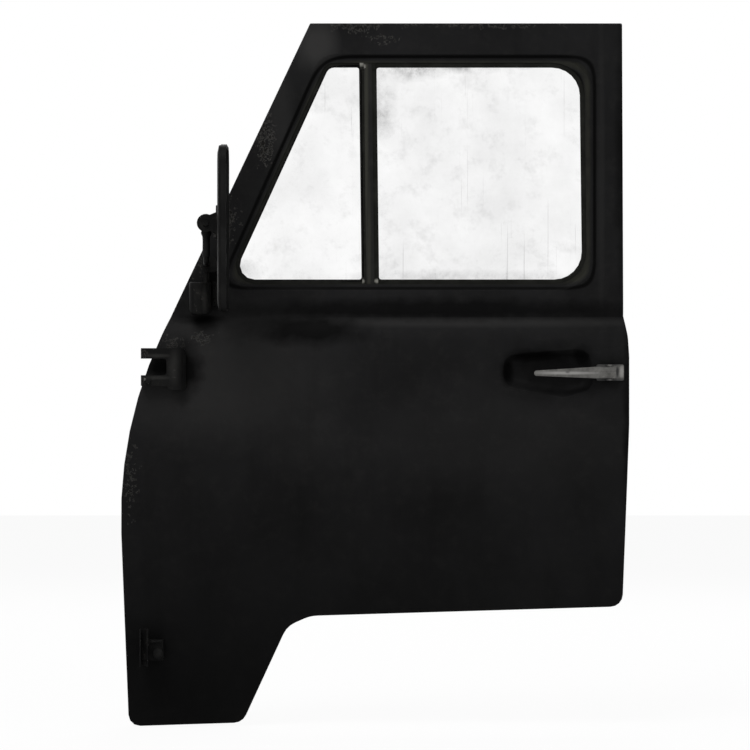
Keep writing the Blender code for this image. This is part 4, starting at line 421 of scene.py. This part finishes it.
# Paler places, each (centre, reach, strength): painted highlights on the bulge of the lower body, along the
# shoulder under the belt and on the slope beside the crease at the rear, and faded paint with a painted
# highlight on the front pillar.
highlights_and_faded_places = (
    ((0.15, 0.03, -0.02), (0.26, 0.2, 0.16), 0.36),
    ((0.30, 0.03, -0.13), (0.10, 0.2, 0.10), 0.16),
    ((0.66, 0.03, -0.13), (0.34, 0.2, 0.13), 0.14),
    ((0.866, 0.03, 0.37), (0.009, 0.2, 0.36), 0.2),
    ((0.60, 0.03, 0.085), (0.5, 0.2, 0.012), 0.35),
    ((0.325, 0.03, 0.615), (0.05, 0.2, 0.06), 0.8),
    ((0.255, 0.03, 0.48), (0.03, 0.2, 0.12), 0.28),
)
highlight_and_fade_mask = marks(tree, place, highlights_and_faded_places, 0.25)
highlighted_paint = mixed(tree, highlight_and_fade_mask, finish.outputs["Colour"], HIGHLIGHT_AND_FADED_GREY)
# An olive band inside the recess: olive film on the paint with a painted highlight streak along it.
olive_film_and_highlight = line_in_recess(0.019, 0.007, 0.002, 0.6)
patches = mapped(tree, noise(tree, place, 30, 5.0), 0.3, 0.6, 0.35, 1.0)
olive_film_and_highlight = calculate(tree, "MULTIPLY", olive_film_and_highlight, patches)
highlighted_paint = mixed(tree, olive_film_and_highlight, highlighted_paint, OLIVE_FILM_AND_HIGHLIGHT)
# Painted shade and dirt darken the paint here, towards near-black.
tree.links.new(mixed(tree, grime_and_shade, highlighted_paint, DIRT_AND_SHADE_BLACK), shader.inputs["Base Color"])
tree.links.new(finish.outputs["Roughness"], shader.inputs["Roughness"])
bump(tree, shader, finish.outputs["Height"], 0.35, 0.0006)
skin = merged_copy("outer_skin", 32)
skin.data.materials.append(door_paint)

# The inner panel is the deep pressing that the skin is folded over. It carries the lock, the winder and the
# glass runs, and was sprayed with the skin. Its paint is given a lighter colour than the skin's so that its
# shapes read under the cab-side lamp: a painted lit copy of the same paint, with scuffs where boots and hands
# reach.
# The access cover is a flat plate in the same paint, held by four screws.
lightened_cab_paint, tree, shader, place = new_material("cab_side_paint_lightened")
shader.inputs["Specular IOR Level"].default_value = 0.25
scuffs = (
    ((0.45, 0.09, -0.45), (0.5, 0.2, 0.12), 0.55),
    ((0.33, 0.09, -0.22), (0.14, 0.2, 0.14), 0.5),
    ((0.9, 0.07, -0.1), (0.04, 0.2, 0.3), 0.6),
)
# Lighter than the skin's paint: a lit copy of the same paint, so the cab side's shapes read under its lamp.
inputs = {
    "Place": place,
    "Paint": (0.012, 0.012, 0.0125, 1),
    "Faded": (0.024, 0.024, 0.0245, 1),
    "Chips": marks(tree, place, scuffs, 0.8),
    "Dust": 0.5,
}
finish = use_group(tree, old_paint, inputs)
tree.links.new(finish.outputs["Colour"], shader.inputs["Base Color"])
tree.links.new(finish.outputs["Roughness"], shader.inputs["Roughness"])
bump(tree, shader, finish.outputs["Height"], 0.3, 0.0006)
for name in ("inner_panel", "access_cover"):
    piece = merged_copy(name, 32)
    piece.data.materials.append(lightened_cab_paint)

# The division bar is a folded steel channel between the two windows, painted with the door. A narrow olive
# grey stripe down its front half is a painted highlight on its rounded face, on paint thinned by wiping, and
# the bare metal shows at its top front corner.
OLIVE_HIGHLIGHT_AND_WEAR = (0.040, 0.040, 0.032, 1)
BARE_STEEL = (0.35, 0.34, 0.31, 1)
bar_paint, tree, shader, place = new_material("bar_paint_finish")
shader.inputs["Specular IOR Level"].default_value = 0.06
bar_chips = (
    ((0.413, 0.04, 0.572), (0.006, 0.02, 0.010), 1.0),
    ((0.42, 0.04, 0.40), (0.02, 0.02, 0.2), 0.4),
)
inputs = {
    "Place": place,
    "Faded": (0.013, 0.013, 0.012, 1),
    "Chips": marks(tree, place, bar_chips, 0.5),
    "Dust": 0.4,
}
finish = use_group(tree, old_paint, inputs)
# A painted highlight down the bar's face, on paint thinned to olive by wiping.
highlight_and_wiped_line = (
    ((0.4185, 0.04, 0.45), (0.0052, 0.02, 0.32), 0.62),
    ((0.4235, 0.04, 0.22), (0.0052, 0.02, 0.20), 0.45),
)
highlight_and_wiped = marks(tree, place, highlight_and_wiped_line, 0.15)
olive = mixed(tree, highlight_and_wiped, finish.outputs["Colour"], OLIVE_HIGHLIGHT_AND_WEAR)
bare_corner = (((0.4125, 0.04, 0.5735), (0.0065, 0.02, 0.0055), 0.5),)
bare = marks(tree, place, bare_corner, 0.6)
tree.links.new(mixed(tree, bare, olive, BARE_STEEL), shader.inputs["Base Color"])
tree.links.new(finish.outputs["Roughness"], shader.inputs["Roughness"])
bump(tree, shader, finish.outputs["Height"], 0.3, 0.0004)
bar = merged_copy("division_bar", 32, 0.0004)
bar.data.materials.append(bar_paint)

# The rubber: the glass run of the main window, the ring of the vent window and the bulb strip that closes
# the door's edge are extruded black rubber, gone matt and slightly green-grey with age, with fine cracks.
RUBBER_GLOSS = 0.06
RUBBER_BLACK = (0.006, 0.0062, 0.0052, 1)
BLOOM_GREY = (0.022, 0.0225, 0.019, 1)
CRACK_BLACK = (0.002, 0.002, 0.002, 1)
old_rubber = new_group(
    "old_rubber",
    [("Place", VECTOR, (0, 0, 0)), ("Bloom", VALUE, 0.0)],
    [("Colour", COLOUR), ("Roughness", VALUE), ("Height", VALUE)],
)
tree = old_rubber
given = tree.nodes.new("NodeGroupInput").outputs
place = given["Place"]
bloom = mapped(tree, noise(tree, place, 24, 6.0, 0.65), 0.42, 0.75)
bloom = calculate(tree, "MULTIPLY", bloom, given["Bloom"])
colour = mixed(tree, bloom, RUBBER_BLACK, BLOOM_GREY)
cracks = mapped(tree, noise(tree, stretched(tree, place, (90, 90, 420)), 1.0, 4.0), 0.60, 0.70)
colour = mixed(tree, calculate(tree, "MULTIPLY", cracks, 0.6), colour, CRACK_BLACK)
rough = mapped(tree, noise(tree, place, 60, 4.0), 0.3, 0.7, 0.62, 0.85)
height = calculate(tree, "SUBTRACT", noise(tree, place, 260, 3.0), cracks)
result = tree.nodes.new("NodeGroupOutput")
tree.links.new(colour, result.inputs["Colour"])
tree.links.new(rough, result.inputs["Roughness"])
tree.links.new(height, result.inputs["Height"])

seal_rubber, tree, shader, place = new_material("seal_rubber_finish")
shader.inputs["Specular IOR Level"].default_value = RUBBER_GLOSS
finish = use_group(tree, old_rubber, {"Place": place, "Bloom": 0.5})
tree.links.new(finish.outputs["Colour"], shader.inputs["Base Color"])
tree.links.new(finish.outputs["Roughness"], shader.inputs["Roughness"])
bump(tree, shader, finish.outputs["Height"], 0.3, 0.0004)
for name, edge in (("main_window_seal", 0.0007), ("vent_window_seal", 0.0), ("door_seal", 0.0)):
    piece = merged_copy(name, 40, edge)
    piece.data.materials.append(seal_rubber)

# Black mastic fills the joint between the bar and the rubber on either side of it, with a thicker plug where
# each strip meets the top and bottom of the frame. It was pressed in by hand, so its edges are soft. Both
# plugs at the bar's foot and the front one at its top carry painted glints: pale grey painted where light
# shows at those corners.
BAR_RAKE = math.tan(math.radians(0.7))
BAR_MIDDLE_Z = 0.368
MASTIC_Y = 0.0413
MASTIC_EDGE = 0.0002
STRIP_LINES = (0.4152, 0.4321)
STRIP_MIDDLE_Z = 0.3695
STRIP_SIZE = (0.0014, 0.0007, 0.411)
BAR_SIDES = (0.4135, 0.4338)
PLUG_OUT = 0.0012
PLUG_LINES = (BAR_SIDES[0] - PLUG_OUT, BAR_SIDES[1] + PLUG_OUT)
PLUG_LEVELS = (0.5755, 0.1630)
PLUG_SIZE = (0.0076, 0.0016, 0.0165)
GLINT_GREY = (0.17, 0.168, 0.15, 1)
mastic, tree, shader, place = new_material("mastic_finish")
shader.inputs["Specular IOR Level"].default_value = RUBBER_GLOSS
finish = use_group(tree, old_rubber, {"Place": place, "Bloom": 0.5})
# Painted glints: pale grey on the plugs at the bar's foot and front top, where light shows at the corners.
painted_glints = (
    ((0.4100, MASTIC_Y, 0.1640), (0.0065, 0.02, 0.0055), 1.0),
    ((0.4385, MASTIC_Y, 0.1640), (0.0065, 0.02, 0.0055), 1.0),
    ((0.4080, MASTIC_Y, 0.5790), (0.0080, 0.02, 0.0080), 1.0),
)
glint_mask = marks(tree, place, painted_glints, 0.6)
colour = mixed(tree, glint_mask, finish.outputs["Colour"], GLINT_GREY)
tree.links.new(colour, shader.inputs["Base Color"])
tree.links.new(finish.outputs["Roughness"], shader.inputs["Roughness"])
strip_places = [(line, STRIP_MIDDLE_Z, STRIP_SIZE) for line in STRIP_LINES]
strip_places += [(line, level, PLUG_SIZE) for line in PLUG_LINES for level in PLUG_LEVELS]
made = bmesh.new()
for line, level, size in strip_places:
    before = len(made.verts)
    bmesh.ops.create_cube(made, size=1.0)
    made.verts.ensure_lookup_table()
    strip = made.verts[before:]
    bmesh.ops.scale(made, vec=size, verts=strip)
    bmesh.ops.translate(made, vec=(line, MASTIC_Y, level), verts=strip)
    for vertex in strip:
        vertex.co.x -= (vertex.co.z - BAR_MIDDLE_Z) * BAR_RAKE
bmesh.ops.bevel(
    made,
    geom=made.edges[:],
    offset=MASTIC_EDGE,
    segments=2,
    profile=0.5,
    affect="EDGES",
    material=-1,
)
mastic_line = placed("bar_mastic", made)
mastic_line.data.materials.append(mastic)
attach(mastic_line, "door")

# A rubber washer sits on each of the vent's two pivots, between its sash and the ring, and closes the slot
# that the ring's lips leave there. Each is cut from flat rubber and pressed over the pin.
PIN_PLACE = (0.372, 0.05)
WASHER_LEVELS = (0.576315, 0.162385)
WASHER_BORE = 0.0032
WASHER_RADIUS = 0.0086
WASHER_HALF_HEIGHT = 0.000915
SECTION_CORNER = 0.0007
SECTION_HALF = 0.000495
made = bmesh.new()
for level in WASHER_LEVELS:
    before = len(made.verts)
    bmesh.ops.create_circle(made, segments=4, radius=SECTION_CORNER)
    made.verts.ensure_lookup_table()
    section = made.verts[before:]
    middle = (WASHER_BORE + WASHER_RADIUS) / 2
    half_width = (WASHER_RADIUS - WASHER_BORE) / 2
    for angle, axis in ((45, "Z"), (90, "X")):
        turn = Matrix.Rotation(math.radians(angle), 3, axis)
        bmesh.ops.rotate(made, cent=(0, 0, 0), matrix=turn, verts=section)
    stretch = (half_width / SECTION_HALF, 1, WASHER_HALF_HEIGHT / SECTION_HALF)
    bmesh.ops.scale(made, vec=stretch, verts=section)
    bmesh.ops.translate(made, vec=(middle, 0, 0), verts=section)
    loop = [edge for edge in made.edges if edge.verts[0] in section and edge.verts[1] in section]
    bmesh.ops.spin(
        made,
        geom=section + loop,
        cent=(0, 0, 0),
        axis=(0, 0, 1),
        angle=math.tau,
        steps=28,
        use_merge=True,
    )
    made.verts.ensure_lookup_table()
    ring = made.verts[before:]
    pin_x = PIN_PLACE[0] - (level - BAR_MIDDLE_Z) * BAR_RAKE
    bmesh.ops.translate(made, vec=(pin_x, PIN_PLACE[1], level), verts=ring)
bmesh.ops.remove_doubles(made, verts=made.verts, dist=SAME_POINT)
bmesh.ops.recalc_face_normals(made, faces=made.faces)
washers = placed("pivot_washers", made)
washers.data.materials.append(seal_rubber)
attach(washers, "door")

# The two runs below the sill are steel channels lined with short felt, out of sight inside the door. The main
# glass slides down between them, and the felt keeps it quiet and wipes it.
FELT_DARK = (0.008, 0.008, 0.008, 1)
FELT_PALE = (0.03, 0.03, 0.028, 1)
run_felt, tree, shader, place = new_material("run_felt_finish")
shader.inputs["Specular IOR Level"].default_value = 0.1
shader.inputs["Sheen Weight"].default_value = 0.3
fibre = noise(tree, place, 700, 3.0, 0.7)
tree.links.new(mixed(tree, fibre, FELT_DARK, FELT_PALE), shader.inputs["Base Color"])
tree.links.new(mapped(tree, fibre, 0.2, 0.8, 0.85, 1.0), shader.inputs["Roughness"])
bump(tree, shader, fibre, 0.5, 0.0005)


def finish_node(name, finish):
    """A CAD node that is shown as it is, in a better material."""
    if not nodes[name].material_slots:
        nodes[name].data.materials.append(None)
    nodes[name].material_slots[0].material = finish


for name in ("front_run_channel", "rear_run_channel"):
    finish_node(name, run_felt)

# The glasses are toughened panes, 4 mm thick. Years of wiping have left fine scratches in every direction, a
# film of dust and a dirtier patch along the top of the winding glass.
dirty_glass = new_group(
    "dirty_glass",
    [("Place", VECTOR, (0, 0, 0)), ("Dirt", VALUE, 0.0)],
    [("Colour", COLOUR), ("Roughness", VALUE)],
)
tree = dirty_glass
given = tree.nodes.new("NodeGroupInput").outputs
place = given["Place"]
film = mapped(tree, noise(tree, place, 7, 8.0, 0.62), 0.36, 0.70, 0.01, 0.16)
blots = mapped(tree, noise(tree, place, 30, 5.0, 0.7), 0.52, 0.70, 0.0, 0.12)
grey = calculate(tree, "ADD", film, blots)
darkening = mapped(tree, noise(tree, place, 16, 7.0, 0.7), 0.35, 0.6)
darkening = calculate(tree, "MULTIPLY", darkening, given["Dirt"])
grey = calculate(tree, "ADD", grey, calculate(tree, "MULTIPLY", darkening, 0.70))
wiping = ((0.5, 240, 0.715), (-0.35, 300, 0.72), (1.25, 260, 0.72), (2.2, 210, 0.73))
scratches = 0.0
for turn, across, spread in wiping:
    line = noise(tree, stretched(tree, place, (across, 1, 3.5), (0, turn, 0)), 1.0, 2.0, 0.5)
    line = mapped(tree, line, spread - 0.02, spread + 0.03)
    scratches = calculate(tree, "MAXIMUM", scratches, line)
patchy = mapped(tree, noise(tree, place, 5, 3.0), 0.42, 0.62)
scratches = calculate(tree, "MULTIPLY", scratches, patchy)
bright = calculate(tree, "SUBTRACT", 0.985, grey)
bright = calculate(tree, "SUBTRACT", bright, calculate(tree, "MULTIPLY", scratches, 0.3))
inputs = {"Red": bright, "Green": bright, "Blue": bright}
colour = add_node(tree, "ShaderNodeCombineColor", inputs).outputs[0]
rough = calculate(tree, "MULTIPLY", grey, 0.35)
rough = calculate(tree, "ADD", rough, calculate(tree, "MULTIPLY", scratches, 0.2))
result = tree.nodes.new("NodeGroupOutput")
tree.links.new(colour, result.inputs["Colour"])
tree.links.new(rough, result.inputs["Roughness"])

glass_dirt = (
    ((0.50, 0.05, 0.575), (0.09, 0.2, 0.035), 0.9),
    ((0.60, 0.05, 0.580), (0.16, 0.2, 0.022), 0.7),
    ((0.45, 0.05, 0.50), (0.03, 0.2, 0.08), 0.5),
    ((0.17, 0.05, 0.18), (0.06, 0.2, 0.03), 0.4),
    ((0.62, 0.05, 0.17), (0.3, 0.2, 0.018), 0.35),
)
pane_glass, tree, shader, place = new_material("pane_glass")
shader.inputs["Transmission Weight"].default_value = 1.0
shader.inputs["IOR"].default_value = 1.45
finish = use_group(tree, dirty_glass, {"Place": place, "Dirt": marks(tree, place, glass_dirt, 0.7)})
tree.links.new(finish.outputs["Colour"], shader.inputs["Base Color"])
tree.links.new(finish.outputs["Roughness"], shader.inputs["Roughness"])
for name in ("main_glass", "vent_glass"):
    piece = merged_copy(name, 40, 0.0006)
    piece.data.materials.append(pane_glass)

# The hinges, the mirror's foot, arm and back, the vent's sash and the lock's face plate are castings and
# folded steel under black paint that has been brushed over more than once: thick, lumpy, and rubbed through
# on the outer edges.
HIGHLIGHT_GREY = (0.030, 0.0295, 0.028, 1)
brushed_paint, tree, shader, place = new_material("brushed_black_paint")
shader.inputs["Specular IOR Level"].default_value = 0.035
rubbed_through = (
    ((-0.003, 0.0, 0.026), (0.016, 0.03, 0.016), 0.85),
    ((-0.003, 0.0, -0.026), (0.018, 0.03, 0.016), 0.9),
    ((0.06, 0.0, 0.0), (0.05, 0.05, 0.05), 0.5),
    ((0.0, 0.0, -0.53), (0.05, 0.05, 0.05), 0.6),
    ((0.10, 0.0, 0.13), (0.05, 0.05, 0.05), 0.6),
    ((0.12, -0.1, 0.27), (0.05, 0.06, 0.05), 0.5),
)
inputs = {
    "Place": place,
    "Paint": (0.0040, 0.0040, 0.0040, 1),
    "Faded": (0.0095, 0.0095, 0.0092, 1),
    "Chipped": (0.06, 0.057, 0.052, 1),
    "Chips": marks(tree, place, rubbed_through, 0.7),
    "Dust": 0.6,
}
finish = use_group(tree, old_paint, inputs)
# Painted highlights: light lines on the edges of the upper hinge's arms and on its leg, a vertical highlight
# on the mirror barrel and a lit ring on the lower hinge bolt.
painted_highlights = (
    ((0.056, 0.0, 0.0), (0.016, 0.06, 0.040), 0.45),
    ((0.020, 0.0, 0.0215), (0.040, 0.06, 0.0045), 0.5),
    ((0.020, 0.0, -0.0205), (0.040, 0.06, 0.0045), 0.5),
    ((0.112, 0.0, 0.130), (0.006, 0.06, 0.034), 0.5),
    ((0.022, 0.0, -0.54), (0.010, 0.06, 0.012), 0.4),
)
highlight_mask = marks(tree, place, painted_highlights, 0.2)
colour = mixed(tree, highlight_mask, finish.outputs["Colour"], HIGHLIGHT_GREY)
# Painted shade: a dark band on the upper hinge's right side, the centre of the lower hinge bolt and the left
# side of the mirror barrel.
painted_shade_spots = (
    ((0.072, 0.0, -0.004), (0.018, 0.06, 0.055), 0.75),
    ((0.0163, 0.0, -0.539), (0.014, 0.06, 0.014), 0.6),
    ((0.086, 0.0, 0.13), (0.008, 0.06, 0.05), 0.6),
)
colour = mixed(tree, marks(tree, place, painted_shade_spots, 0.3), colour, DIRT_AND_SHADE_BLACK)
tree.links.new(colour, shader.inputs["Base Color"])
tree.links.new(finish.outputs["Roughness"], shader.inputs["Roughness"])
lumps = calculate(tree, "ADD", finish.outputs["Height"], noise(tree, place, 110, 2.0))
bump(tree, shader, lumps, 0.5, 0.0008)
brushed_nodes = {
    "upper_hinge_bracket": 0.001,
    "lower_hinge_bracket": 0.0,
    "lower_hinge_bolt": 0.0005,
    "vent_sash": 0.0,
    "mirror_bracket": 0.0006,
    "mirror_strap": 0.0,
    "mirror_arm": 0.0,
    "mirror_clamp": 0.0004,
    "mirror_shell": 0.0,
    "latch_face_plate": 0.0003,
}
for name, edge in brushed_nodes.items():
    piece = merged_copy(name, 35, edge)
    piece.data.materials.append(brushed_paint)

# Zinc-plated steel: bolts, screws, plates, the winder's arm and pinion, the lock and its rod. The plating
# has dulled to a mottled grey with patches of brown rust. The mirror's screws and the two pins were painted
# over with what they hold.
ZINC_GREY = (0.30, 0.295, 0.28, 1)
RUST_BROWN = (0.055, 0.028, 0.014, 1)
dull_zinc = new_group(
    "dull_zinc",
    [("Place", VECTOR, (0, 0, 0)), ("Metal", COLOUR, ZINC_GREY), ("Rust", VALUE, 0.4)],
    [("Colour", COLOUR), ("Roughness", VALUE), ("Metallic", VALUE), ("Height", VALUE)],
)
tree = dull_zinc
given = tree.nodes.new("NodeGroupInput").outputs
place = given["Place"]
mottle = mapped(tree, noise(tree, place, 55, 6.0, 0.6), 0.35, 0.7, 0.55, 1.1)
inputs = {0: given["Metal"], "Scale": mottle}
metal = add_node(tree, "ShaderNodeVectorMath", inputs, operation="SCALE").outputs[0]
rust = mapped(tree, noise(tree, place, 28, 8.0, 0.7), 0.55, 0.68)
rust = calculate(tree, "MULTIPLY", rust, given["Rust"])
colour = mixed(tree, rust, metal, RUST_BROWN)
rough = mapped(tree, noise(tree, place, 130, 4.0), 0.3, 0.7, 0.32, 0.55)
rough = calculate(tree, "ADD", rough, calculate(tree, "MULTIPLY", rust, 0.35), True)
result = tree.nodes.new("NodeGroupOutput")
tree.links.new(colour, result.inputs["Colour"])
tree.links.new(rough, result.inputs["Roughness"])
tree.links.new(calculate(tree, "SUBTRACT", 1.0, rust), result.inputs["Metallic"])
tree.links.new(noise(tree, place, 240, 3.0), result.inputs["Height"])


def metal_finish(name, metal, rust, strength):
    made, tree, shader, place = new_material(name)
    finish = use_group(tree, dull_zinc, {"Place": place, "Metal": metal, "Rust": rust})
    tree.links.new(finish.outputs["Colour"], shader.inputs["Base Color"])
    tree.links.new(finish.outputs["Roughness"], shader.inputs["Roughness"])
    tree.links.new(finish.outputs["Metallic"], shader.inputs["Metallic"])
    bump(tree, shader, finish.outputs["Height"], strength, 0.0003)
    return made


zinc = metal_finish("dull_zinc_finish", ZINC_GREY, 0.5, 0.3)
painted_over = ("mirror_screw_1", "mirror_screw_2", "mirror_tilt_pin", "pin_lock_screw")
for member in frame["record"]["subparts"]:
    if member["material_slot"] == "plated_steel":
        finish_node(member["node"], brushed_paint if member["node"] in painted_over else zinc)

# The hinge's grease nipple is a small turned zinc fitting in the lower ear, hexagonal under a round head.
# Each step is a radius, a height over the ear's face and a number of sides.
NIPPLE_FOOT = Vector((-0.0005, -0.0098, -0.0235))
NIPPLE_GREY = (0.10, 0.098, 0.092, 1)
nipple_steps = (
    (0.0029, 0.0, 6),
    (0.0029, 0.0016, 6),
    (0.0016, 0.0022, 12),
    (0.0014, 0.0034, 12),
    (0.0021, 0.0041, 12),
    (0.0012, 0.0050, 12),
)
made = bmesh.new()
for (radius, start, sides), (end_radius, end, _) in zip(nipple_steps, nipple_steps[1:]):
    before = len(made.verts)
    bmesh.ops.create_cone(
        made,
        cap_ends=True,
        segments=sides,
        radius1=radius,
        radius2=end_radius,
        depth=end - start,
    )
    made.verts.ensure_lookup_table()
    bmesh.ops.translate(made, vec=(0, 0, (start + end) / 2), verts=made.verts[before:])
face_outwards = Vector((0, 0, 1)).rotation_difference((0, -1, 0)).to_matrix()
bmesh.ops.rotate(made, cent=(0, 0, 0), matrix=face_outwards, verts=made.verts)
bmesh.ops.translate(made, vec=NIPPLE_FOOT, verts=made.verts)
nipple = placed("grease_nipple", made)
rubbed_zinc = metal_finish("rubbed_nipple_finish", NIPPLE_GREY, 0.6, 0.3)
nipple.data.materials.append(rubbed_zinc)
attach(nipple, "door")

# The outside handle is a chromed casting whose plate has worn through to a scratched grey. A pale stripe
# along the lever and a pale right end of the base plate are painted highlights, and dark lines above and
# below the lever and along the base plate are painted shade with some dirt. The winder's crank and the inside
# handle are cast and plated alike.
PLATE_DARK = (0.055, 0.0535, 0.050, 1)
PLATE_PALE = (0.145, 0.141, 0.134, 1)
BRUSHED_GREY = (0.12, 0.118, 0.112, 1)
HIGHLIGHT_PLATE_GREY = (0.27, 0.265, 0.255, 1)
HAND_DIRT_AND_SHADE = (0.006, 0.006, 0.006, 1)
worn_plate, tree, shader, place = new_material("worn_chrome_finish")
shader.inputs["Specular IOR Level"].default_value = 0.4
mottle = mapped(tree, noise(tree, place, 70, 6.0, 0.65), 0.32, 0.7)
colour = mixed(tree, mottle, PLATE_DARK, PLATE_PALE)
brush = noise(tree, stretched(tree, place, (14, 300, 300)), 1.0, 3.0)
brush = mapped(tree, brush, 0.35, 0.7, 0.0, 0.5)
colour = mixed(tree, brush, colour, BRUSHED_GREY)
# Painted shade with some dirt: dark lines above and below the lever, along the edges of the base plate and at
# the lever's tip.
handle_dirt_and_shade = (
    ((0.860, 0.01, 0.001), (0.020, 0.02, 0.008), 0.8),
    ((0.88, 0.012, -0.026), (0.05, 0.02, 0.008), 0.95),
    ((0.88, 0.012, 0.006), (0.05, 0.02, 0.006), 0.9),
    ((0.8955, 0.008, -0.010), (0.0035, 0.02, 0.016), 0.95),
    ((0.872, 0.005, -0.0215), (0.026, 0.02, 0.0035), 0.9),
    ((0.872, 0.005, 0.0005), (0.024, 0.02, 0.003), 0.7),
    ((0.800, 0.0, -0.010), (0.006, 0.02, 0.003), 0.6),
)
# Painted highlights: a pale stripe along the lever's face and the lit right end of the base plate.
painted_highlights_on_handle = (
    ((0.800, -0.005, -0.0115), (0.070, 0.02, 0.0040), 0.75),
    ((0.9035, 0.01, -0.010), (0.0055, 0.02, 0.016), 0.7),
    ((0.861, 0.01, 0.001), (0.006, 0.02, 0.003), 0.5),
)
colour = mixed(tree, marks(tree, place, painted_highlights_on_handle, 0.3), colour, HIGHLIGHT_PLATE_GREY)
darkening = marks(tree, place, handle_dirt_and_shade, 0.6)
colour = mixed(tree, darkening, colour, HAND_DIRT_AND_SHADE)
tree.links.new(colour, shader.inputs["Base Color"])
plated = calculate(tree, "SUBTRACT", 0.75, calculate(tree, "MULTIPLY", darkening, 0.7), True)
tree.links.new(plated, shader.inputs["Metallic"])
tree.links.new(mapped(tree, mottle, 0.0, 1.0, 0.55, 0.38), shader.inputs["Roughness"])
bump(tree, shader, brush, 0.2, 0.0002)
chrome_nodes = {
    "handle_base": 0.0005,
    "outside_handle": 0.0,
    "handle_pivot_pin": 0.0004,
    "winder_handle": 0.0,
    "inside_handle": 0.0,
}
for name, edge in chrome_nodes.items():
    piece = merged_copy(name, 40, edge)
    piece.data.materials.append(worn_plate)

# Moulded black plastic and hard rubber: the knob, the two escutcheons, the roller, the mirror's knuckle and
# the rim that holds its glass. It has a fine grain and a few rubbed, shinier places.
MOULDED_BLACK = (0.0045, 0.0045, 0.0045, 1)
MOULDED_WORN = (0.010, 0.010, 0.0098, 1)
moulded, tree, shader, place = new_material("moulded_black")
shader.inputs["Specular IOR Level"].default_value = 0.05
worn = mapped(tree, noise(tree, place, 20, 5.0), 0.4, 0.7)
grain = add_node(tree, "ShaderNodeTexVoronoi", {"Vector": place, "Scale": 1400.0}).outputs["Distance"]
tree.links.new(mixed(tree, worn, MOULDED_BLACK, MOULDED_WORN), shader.inputs["Base Color"])
tree.links.new(mapped(tree, worn, 0.0, 1.0, 0.6, 0.42), shader.inputs["Roughness"])
bump(tree, shader, grain, 0.25, 0.0002)
moulded_nodes = (
    "mirror_rim",
    "mirror_knuckle",
    "winder_knob",
    "winder_escutcheon",
    "handle_escutcheon",
    "regulator_roller",
)
for name in moulded_nodes:
    piece = merged_copy(name, 40)
    piece.data.materials.append(moulded)

# A moulded rubber sleeve covers the mirror's stem under the knuckle and spreads into a cuff at its top, which
# keeps water out of the swivel. It is pushed on before the knuckle. Each step is a radius and a level.
STEM_PLACE = (0.119, -0.1)
sleeve_steps = (
    (0.0060, 0.206),
    (0.0071, 0.2068),
    (0.0069, 0.236),
    (0.0074, 0.244),
    (0.0098, 0.2495),
    (0.0098, 0.2535),
    (0.0060, 0.2545),
)
made = bmesh.new()
before = None
for radius, level in sleeve_steps:
    ring = bmesh.ops.create_circle(made, segments=28, radius=radius)["verts"]
    bmesh.ops.translate(made, vec=(*STEM_PLACE, level), verts=ring)
    edges = [edge for edge in made.edges if edge.verts[0] in ring and edge.verts[1] in ring]
    if before:
        bmesh.ops.bridge_loops(made, edges=before + edges)
    before = edges
bmesh.ops.holes_fill(made, edges=[edge for edge in made.edges if edge.is_boundary])
bmesh.ops.recalc_face_normals(made, faces=made.faces)
sleeve = placed("stem_sleeve", made)
sleeve.data.shade_smooth()
sleeve.data.set_sharp_from_angle(angle=math.radians(40))
sleeve.data.materials.append(moulded)
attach(sleeve, "mirror_arm")

# The mirror's glass is silvered on its back and set in the rim. Damp and dirt have left a faint, uneven haze
# on it.
SILVER = (0.78, 0.79, 0.79, 1)
HAZED_SILVER = (0.62, 0.62, 0.60, 1)
silver, tree, shader, place = new_material("mirror_silver_finish")
shader.inputs["Metallic"].default_value = 1.0
haze = mapped(tree, noise(tree, place, 22, 6.0, 0.7), 0.45, 0.75)
tree.links.new(mixed(tree, haze, SILVER, HAZED_SILVER), shader.inputs["Base Color"])
tree.links.new(mapped(tree, haze, 0.0, 1.0, 0.02, 0.12), shader.inputs["Roughness"])
finish_node("mirror_glass", silver)
